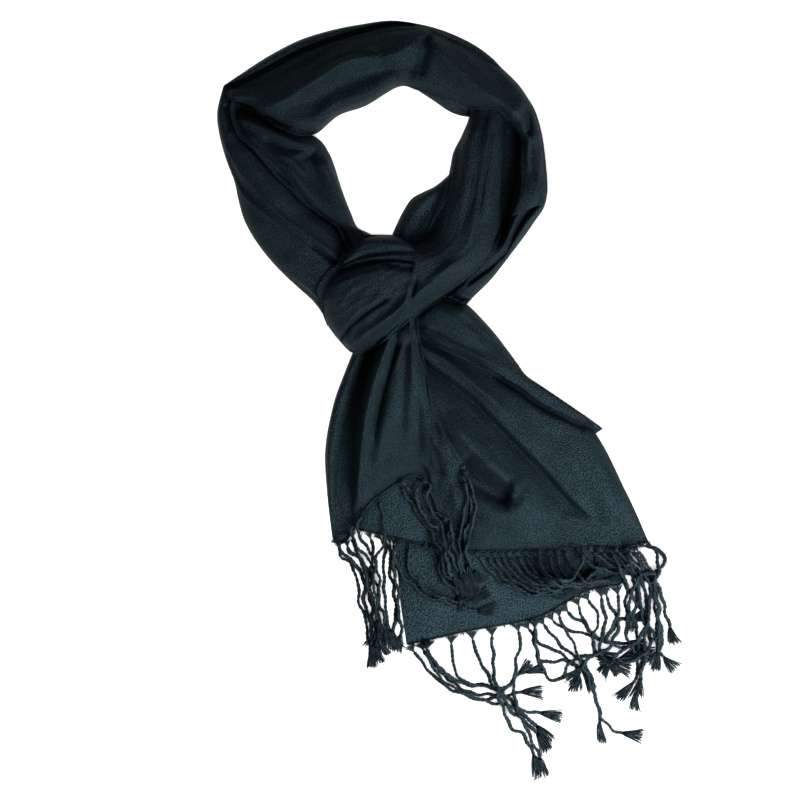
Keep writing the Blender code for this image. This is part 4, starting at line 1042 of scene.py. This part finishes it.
# %% Left fringe
FRINGE_LEFT = [
    [(-93, -112), (-87, -119), (-86, -126), (-78, -131), (-74, -142), (-71, -158), (-67, -178),
     (-64, -197)],
    [(-88, -114), (-84, -124), (-75, -130), (-69, -142), (-67, -158), (-64, -176), (-61, -196)],
    [(-82, -113), (-79, -122), (-70, -128), (-64, -142), (-63, -160), (-60, -180), (-58, -198)],
    [(-79, -104), (-76, -114), (-71, -126), (-66, -140), (-62, -156), (-57, -176), (-54, -197)],
    [(-74, -96), (-78, -106), (-72, -118), (-64, -130), (-58, -146), (-56, -164), (-54, -184)],
    [(-68, -86), (-71, -97), (-74, -106), (-66, -116), (-60, -128), (-56, -144), (-54, -162),
     (-50, -180)],
    [(-54, -77), (-54, -88), (-51, -100), (-52, -114), (-58, -126), (-60, -142), (-58, -158),
     (-56, -176)],
    [(-37, -70), (-33, -78), (-27, -88), (-21, -97), (-13, -108), (-7, -120), (-5, -133), (2, -144)],
    [(-33, -71), (-25, -81), (-17, -88), (-7, -93), (0, -100), (0, -112), (2, -126), (8, -138)],
    [(-24, -66), (-26, -76), (-24, -86), (-16, -96), (-8, -105), (-3, -115), (-1, -128), (4, -142)],
    [(-18, -62), (-14, -70), (-18, -80), (-12, -92), (-5, -102), (-2, -116), (4, -130), (10, -138)],
    [(11, -52), (16, -64), (18, -78), (17, -92), (14, -106), (12, -120), (15, -132)],
    [(13, -56), (19, -72), (21, -88), (19, -102), (15, -116), (16, -128), (22, -136)],
    [(12, -60), (14, -72), (14, -86), (11, -100), (8, -114), (10, -128), (14, -141)],
    [(0, -92), (2, -104), (4, -118), (8, -130), (11, -140)],
]
lay_fringe("fringe_left", hem_of(TAIL_LEFT), FRINGE_LEFT, Roots(9, 3.4, 8), 41)

# %% [markdown]
# ## Back of the neck loop
#
# Two layers make the broad band behind the neck. The lower one shows as a thin strip outside and a
# narrow lip inside. The upper one is laid later, after the loop's two sides.

# %% Lower layer of the back
NECK_BACK_UNDER = [
    Section(-180, 251, -170, 244, 8),
    Section(-165, 261, -152, 244, 12),
    Section(-145, 274, -128, 245, 14),
    Section(-120, 287, -100, 250, 15),
    Section(-95, 295, -80, 255, 15),
    Section(-70, 300, -60, 262, 15),
    Section(-45, 303, -42, 262, 15),
    Section(-20, 299.5, -26, 248.5, 15),
    Section(0, 293.5, -12, 239, 15),
    Section(20, 284, 0, 230.8, 14),
    Section(35, 273, 9, 227.2, 13),
    Section(45, 262, 17, 226, 11),
]
NECK_BACK_UNDER_FOLDS = [
    Fold([(-180, 248), (-162, 255.5), (-142, 265.5), (-119, 277.5), (-96, 286.5), (-71, 294), (-46, 299.5),
          (-20, 299)],
         -9, 2, 5, 0.3, 0.05, 0.1),
    Fold([(-178, 252), (-152, 267), (-118, 285), (-84, 296), (-50, 301)], 1.6, 2, 2, 0.3, 0.1, 0.2),
]
lay("neck_back_under", NECK_BACK_UNDER, NECK_BACK_UNDER_FOLDS, 44, 130, ends=(6, 6),
    material=under_twill_painted_light)

# %% [markdown]
# ## Right side of the loop
#
# The outer band comes down from the back with a lip and a pocket in it. Between it and the main
# band is a deep black valley. The main band is the one that goes on over the knot.

# %% Outer band
NECK_RIGHT_OUTER = [
    Section(65, 238, 40, 226, 13),
    Section(71, 226, 38, 214, 16),
    Section(75, 211, 38, 203, 18),
    Section(77, 196, 38, 193, 20),
    Section(78, 182, 38, 180, 20),
    Section(79, 167, 37, 169, 21),
    Section(76.5, 154, 36, 157, 21),
    Section(69, 142.5, 35, 146, 20),
    Section(61, 131, 33, 134, 18),
    Section(52, 119, 30, 121, 17),
    Section(44, 108.5, 24, 110, 16),
    Section(34, 96, 16, 100.5, 15),
    Section(24, 86, 6, 92, 14),
    Section(14, 76, -2, 83, 12),
]
NECK_RIGHT_OUTER_FOLDS = [
    Fold([(49, 228), (51, 202), (50, 180), (45, 162), (41, 140), (36, 120)], -24, 7.5, 9, 0.1, 0.02, 0.2),
    Fold([(71, 186), (69, 170), (62, 157), (54, 145), (49, 133), (43, 119), (34, 105)],
         5, 3, 4, 0.3, 0.15, 0.2),
    Fold([(77, 168), (71, 158), (61, 147), (54, 135), (46, 119), (36, 105)], -8, 3, 3, 0.3, 0.15, 0.2),
    Fold([(79, 163), (73, 153), (62, 140), (53, 127), (45, 114), (34, 104)], 3.4, 2.2, 3, 0.35, 0.15, 0.3),
    Fold([(46, 120), (36, 108), (24, 99), (12, 90)], -4.5, 2, 2.5, 0.4, 0.2, 0.2),
]
lay("neck_right_outer", NECK_RIGHT_OUTER, NECK_RIGHT_OUTER_FOLDS, 44, 130, ends=(6, 6),
    small=(6, 40, 0.6))

# %% [markdown]
# ## Left side of the loop, outer stretch
#
# It carries the selvedge, which shows as a fine line near its edge. It is laid before the knot and
# runs on below it, as the real cloth does, so no end of it shows beside the knot.

# %% Outer stretch
NECK_LEFT_OUTER = [
    Line([(-180, 250), (-183.5, 238), (-185, 226), (-183, 211), (-179.5, 197.5), (-176, 187),
          (-171, 174), (-168, 160), (-163.5, 144), (-155.5, 129), (-144.5, 114), (-131.5, 100),
          (-119, 88.5), (-109, 79.5)]),
    Line([(-176, 249), (-177.5, 237), (-178, 224), (-171.5, 209), (-163, 197), (-155.5, 186),
          (-147.5, 173.5), (-140, 160), (-133, 146.5), (-123, 134.5), (-112, 122), (-104, 111),
          (-99.5, 103.5), (-97, 97)]),
    Line([(-172, 248), (-172, 236), (-171, 222), (-160, 207), (-147, 197), (-135, 185),
          (-124, 173), (-112, 160), (-103, 149), (-90, 140), (-80, 130), (-75, 121),
          (-75, 114), (-79, 107.5)]),
]
NECK_LEFT_OUTER_CROWN = [5, 10, 15, 18, 21, 23, 24, 25, 26, 27, 27, 27, 27, 26]
BELOW_KNOT = [[(-101, 69), (-97, 59)], [(-91, 84), (-88, 72)], [(-82, 96), (-80, 84)]]
RUNS_ON = [Line(line.points + more) for line, more in zip(NECK_LEFT_OUTER, BELOW_KNOT)]
NECK_LEFT_OUTER_FOLDS = [
    Fold([(-181, 208), (-175, 196), (-166, 182), (-152, 165), (-138, 150), (-122, 138), (-102, 124),
          (-88, 113)],
         3.2, 2.2, 4, 0.5, 0.05, 0.1),
    Fold([(-180, 202), (-174, 184), (-165, 165), (-153, 153), (-140, 143), (-119, 126), (-92, 110)],
         2.2, 1.2, 2.4, 0.5, 0.1, 0.2),
    Fold([(-177, 200), (-171, 183), (-162, 167), (-150, 156), (-137, 146), (-117, 129)],
         -2.4, 1.6, 1.6, 0.4, 0.1, 0.3),
    Fold([(-172, 208), (-156, 186), (-136, 162), (-120, 144)], 3, 6, 6, 0.2, 0.2, 0.3),
    Fold([(-113, 125), (-104, 119), (-94, 112), (-87, 106)], -6, 1.8, 2.4, 0.45, 0.25, 0.1),
    Fold([(-122, 94), (-113, 87), (-105, 80), (-98, 70)], -2.6, 1.4, 1.6, 0.4, 0.2, 0.2),
    Fold([(-127, 101), (-117, 93), (-108, 85), (-101, 76)], 1.6, 1.4, 1.4, 0.4, 0.2, 0.2),
    Fold([(-154, 140), (-138, 124), (-122, 108)], -2.2, 8, 6, 0.1, 0.3, 0.3),
    Fold([(-178, 236), (-177, 224), (-174, 212)], -3, 2, 3, 0.3, 0.1, 0.2),
    Fold([(-184, 240), (-183, 222), (-179, 204)], 1.6, 2, 2, 0.3, 0.2, 0.3),
]
lay("neck_left_outer", RUNS_ON, NECK_LEFT_OUTER_FOLDS, 70, 170,
    crown=NECK_LEFT_OUTER_CROWN + [16, 9], ends=(6, 6), small=(9, 44, 0.7))

# %% [markdown]
# ## The band that wraps the knot
#
# This is the main stretch: it comes down the right side, sweeps over the knot to the lower left
# and goes under. Its broad back catches the light, a dark face lies behind it, and where the cloth
# is pulled round, fine wrinkles cross its left face.

# %% Knot
KNOT_WRAP = [
    Section(16, 244, 47, 236, 15),
    Section(17, 228, 46, 222, 19),
    Section(11, 212, 45, 208, 23),
    Section(4, 198, 44, 194, 25),
    Section(1.5, 186, 43.5, 181, 26),
    Section(-1, 174, 43, 167, 27),
    Section(-7, 158, 42.5, 152, 28),
    Section(-14, 143, 41.5, 137, 30),
    Section(-22, 129, 38.5, 122.5, 34),
    Section(-36, 121, 30.5, 110, 39),
    Section(-52, 120, 19.5, 99.5, 43),
    Section(-68, 117, 7, 90, 45),
    Section(-85, 110, -6, 80, 46),
    Section(-99, 99, -20, 70, 45),
    Section(-105, 86, -34, 60, 42),
    Section(-102, 74, -46, 50, 37),
    Section(-98, 62, -56, 43.5, 31),
    Section(-91, 51.5, -66, 38.5, 24),
    Section(-82, 41, -74, 35.5, 15),
]
KNOT_WRAP_FOLDS = [
    Fold([(32, 228), (31.6, 208), (27.6, 184), (24, 168), (22, 152), (18, 132), (12, 116)],
         3.8, 1.7, 5, 0.35, 0.1, 0.25),
    Fold([(34, 224), (34, 206), (30, 184), (26.4, 168), (24.4, 152), (20.4, 134)],
         -2.4, 2, 1.4, 0.3, 0.15, 0.3),
    Fold([(20, 222), (17, 204), (15, 184), (11, 160), (4, 138)], 2.2, 5, 5, 0.2, 0.1, 0.3),
    Fold([(12, 222), (8, 200), (6, 178), (0, 156)], -2.4, 3, 3, 0.2, 0.2, 0.3),
    Fold([(3, 196), (2, 180), (-3, 160), (-12, 142)], 1.8, 2, 2, 0.4, 0.2, 0.3),
    Fold([(43, 206), (42, 180), (41, 152)], 2.0, 2, 2, 0.3, 0.2, 0.3),
    Fold([(14, 116), (-4, 101), (-22, 86), (-42, 70), (-60, 56), (-78, 43)], 7.5, 7, 4.5, 0.25, 0.2, 0.1),
    Fold([(-44, 82), (-49, 80), (-59, 74), (-70, 66), (-78, 59), (-83.5, 51), (-86, 44)],
         -5, 2.4, 1, 0.5, 0.15, 0.05),
    Fold([(-47, 84), (-60, 77), (-72, 69), (-81, 61), (-87, 51)], 2.6, 1.6, 5, 0.4, 0.2, 0.15),
    Fold([(-29, 96), (-32, 86), (-35, 78), (-41, 69), (-52, 60), (-62, 54)], 3, 2, 3.2, 0.35, 0.15, 0.3),
    Fold([(-25, 102), (-27, 90), (-30, 80), (-36, 70), (-43, 60), (-52, 51)], -4, 1.6, 1.3, 0.4, 0.2, 0.3),
    Fold([(8, 98), (-8, 84), (-24, 74), (-40, 63), (-56, 52)], -3, 2, 3.4, 0.3, 0.2, 0.2),
    Fold([(4, 94), (-10, 82), (-24, 72), (-36, 62)], 2.2, 2, 2, 0.4, 0.2, 0.3),
    Fold([(-102, 80), (-98, 92), (-86, 102), (-70, 107.5), (-52, 111), (-34, 110), (-26, 108)],
         -6, 1.6, 1.8, 0.5, 0.03, 0.05),
    Fold([(-56, 109), (-42, 107), (-28, 104)], -5, 2, 3.4, 0.2, 0.3, 0.05),
    Fold([(-100, 86), (-88, 92), (-70, 99), (-52, 103)], 1.3, 1.6, 3, 0.35, 0.2, 0.3),
    Fold([(-98, 76), (-86, 79), (-68, 88), (-56, 95)], -0.8, 1.2, 1.4, 0.3, 0.2, 0.4),
    Fold([(-96, 66), (-85, 69), (-72, 78), (-60, 84)], 1.0, 1.2, 2.2, 0.35, 0.2, 0.4),
]
lay("knot_wrap", KNOT_WRAP, KNOT_WRAP_FOLDS, 96, 230, ends=(6, 6), small=(6, 34, 0.85))

# %% [markdown]
# ## Left side of the loop, inner stretch
#
# It lies on the outer stretch, rises from the deep crease between them and falls away, dark,
# towards the opening.

# %% Inner stretch
NECK_LEFT = [
    Section(-174, 240, -150, 234, 5),
    Section(-174.5, 228, -122, 217, 17),
    Section(-169, 211, -104, 208.5, 23),
    Section(-158, 201, -95.5, 197, 26),
    Section(-148, 190, -91, 186, 28),
    Section(-138, 178, -87, 173, 28),
    Section(-127, 168, -82.5, 160, 27),
    Section(-117, 158, -78, 149, 26),
    Section(-104, 149, -73, 138, 25),
    Section(-90, 139, -64, 133, 24),
    Section(-84, 127, -56, 128, 23),
    Section(-79, 116, -51, 119, 22),
]
NECK_LEFT_FOLDS = [
    Fold([(-172, 234), (-158, 229), (-142, 222), (-128, 214)], -6, 4, 4, 0.25, 0.1, 0.2),
    Fold([(-172, 226), (-156, 220), (-138, 212), (-120, 204), (-106, 200)], 3, 2.5, 3.5, 0.3, 0.15, 0.2),
    Fold([(-179, 214), (-167, 207), (-156, 195), (-144, 180), (-132, 173), (-122, 157), (-114, 148),
          (-102, 145), (-89, 143)],
         -9, 2.8, 3.2, 0.35, 0.05, 0.45),
    Fold([(-166, 217), (-152, 204), (-138, 191), (-126, 182), (-114, 166), (-104, 154)],
         5, 3, 5, 0.3, 0.15, 0.3),
    Fold([(-150, 210), (-134, 202), (-118, 199), (-104, 198)], -4, 3, 4, 0.25, 0.2, 0.1),
    Fold([(-140, 198), (-124, 190), (-112, 178)], 2, 2, 3, 0.3, 0.3, 0.3),
    Fold([(-114, 198), (-108, 182), (-99, 166), (-92, 152)], -8, 7, 8, 0.15, 0.1, 0.6),
    Fold([(-100, 196), (-93, 180), (-84, 160), (-74, 142)], 5, 3, 8, 0.15, 0.15, 0.15),
    Fold([(-106, 146), (-94, 138), (-82, 130)], 2.4, 3, 3, 0.3, 0.3, 0.3),
    Fold([(-92, 142), (-80, 134), (-70, 128)], -3, 3, 4, 0.2, 0.3, 0.3),
]
lay("neck_left", NECK_LEFT, NECK_LEFT_FOLDS, 66, 110, ends=(8, 8), small=(8, 34, 0.8))

# %% [markdown]
# ## Upper layer of the back
#
# The last large stretch. From the pinched corner on the left a bright ridge wanders along it, with
# a hollow above and a broad dark face below, then a valley cuts across, and a second ridge runs
# down to the outer band. Two more sections take it on to the pocket of that band.

# %% Upper layer of the back
NECK_BACK = [
    Section(-179, 246, -177, 240, 13),
    Section(-160, 253, -158, 234, 21),
    Section(-140, 263, -134, 216, 26),
    Section(-118, 275, -110, 210.5, 28),
    Section(-95, 284, -88, 227, 28),
    Section(-70, 291.5, -66, 235, 28),
    Section(-45, 297, -40, 250, 27),
    Section(-20, 297, -25, 247, 27),
    Section(5, 288, -8, 240.5, 27),
    Section(25, 277, 8, 236, 28),
    Section(42, 265, 20, 231.5, 29),
    Section(55, 253, 36, 231, 30),
    Section(64, 240, 46, 224, 30),
    Section(70, 228, 53, 215, 29),
    Section(74, 213, 58.5, 206, 27),
    Section(76.5, 199, 57.5, 196, 25),
    Section(78, 184, 57, 183, 24),
    Section(78.8, 171, 58, 173, 23),
]
NECK_BACK_LAST = [Section(78.5, 163, 55, 158, 20), Section(75, 156, 50, 146, 16)]
NECK_BACK_FOLDS = [
    Fold([(-174, 249), (-154, 253), (-134, 261), (-112, 272), (-90, 281)], -5, 5, 8, 0.1, 0.1, 0.3),
    Fold([(-177, 239), (-158, 230), (-138, 235), (-120, 245), (-107, 254), (-95, 262), (-85, 269), (-68, 273),
          (-50, 272)],
         6.5, 6.5, 5, 0.15, 0.05, 0.2),
    Fold([(-110, 258), (-98, 266), (-84, 273), (-66, 277), (-48, 276)], -3, 3, 3, 0.25, 0.2, 0.3),
    Fold([(-56, 276), (-44, 275), (-34, 280), (-24, 288), (-16, 296)], 4, 5, 5, 0.2, 0.2, 0.1),
    Fold([(-122, 228), (-100, 243), (-80, 254), (-56, 261), (-34, 260)], -7, 7, 11, 0.05, 0.2, 0.2),
    Fold([(-136, 222), (-110, 217), (-88, 232), (-66, 240), (-44, 254), (-28, 253)],
         5, 8, 4, 0.05, 0.15, 0.15),
    Fold([(-16, 292), (-18, 278), (-22, 264), (-26, 251)], -5, 4, 10, 0.1, 0.15, 0.3),
    Fold([(-22, 276), (-30, 264), (-36, 252)], -4, 5, 12, 0.1, 0.3, 0.3),
    Fold([(-14, 292), (-8, 280), (3, 268), (15, 256), (34, 240), (57, 222)], 7.5, 7, 8, 0.2, 0.1, 0.1),
    Fold([(12, 284), (30, 266), (48, 246), (60, 228)], -3.2, 6, 5, 0.15, 0.2, 0.3),
    Fold([(60, 238), (64, 224), (64, 208)], -6, 3, 3.4, 0.2, 0.3, 0.2),
    Fold([(72, 224), (73, 206), (73, 186), (70, 168)], 2.2, 3, 3, 0.2, 0.2, 0.2),
    Fold([(66, 206), (66, 192), (66, 176), (62, 164)], -2, 3, 3, 0.2, 0.2, 0.2),
    Fold([(-40, 297), (-10, 292), (20, 281), (46, 261)], 1.6, 1.6, 2, 0.3, 0.2, 0.2),
    Fold([(-166, 238), (-150, 226), (-136, 218)], -4, 3, 5, 0.2, 0.1, 0.3),
]
lay("neck_back", NECK_BACK + NECK_BACK_LAST, NECK_BACK_FOLDS, 84, 250, ends=(6, 34), gentle=True,
    small=(9, 44, 0.8))

# %% Collar above the knot
KNOT_COLLAR = [
    Section(-85, 112, -87, 104, 33),
    Section(-77, 121, -78, 107.5, 37),
    Section(-68, 130, -68, 110, 39),
    Section(-58, 131.5, -56, 112, 41),
    Section(-46, 131.5, -43, 112.8, 42),
    Section(-36, 128, -31, 113, 42),
    Section(-27, 122, -21, 112, 41),
]
KNOT_COLLAR_FOLDS = [
    Fold([(-88, 104), (-78, 109), (-64, 112.5), (-48, 114), (-30, 114)], 2, 3, 1.6, 0.2, 0.1, 0.1),
    Fold([(-80, 116), (-62, 122), (-42, 122)], -1.2, 4, 4, 0.1, 0.2, 0.3),
]
lay("knot_collar", KNOT_COLLAR, KNOT_COLLAR_FOLDS, 34, 60, ends=(4, 4), small=(6, 24, 0.5))

# %% [markdown]
# ## What each sheet was cut from
#
# A sheet keeps the size it has when it is spread flat. For a turned edge that counts the part
# below too. A cut names a sheet with its width and length, whether it is held, what it rests on
# and its fringe. No cuts are listed here.

# %% Sheets
Cut = namedtuple("Cut", "name width length held rests_on fringe")
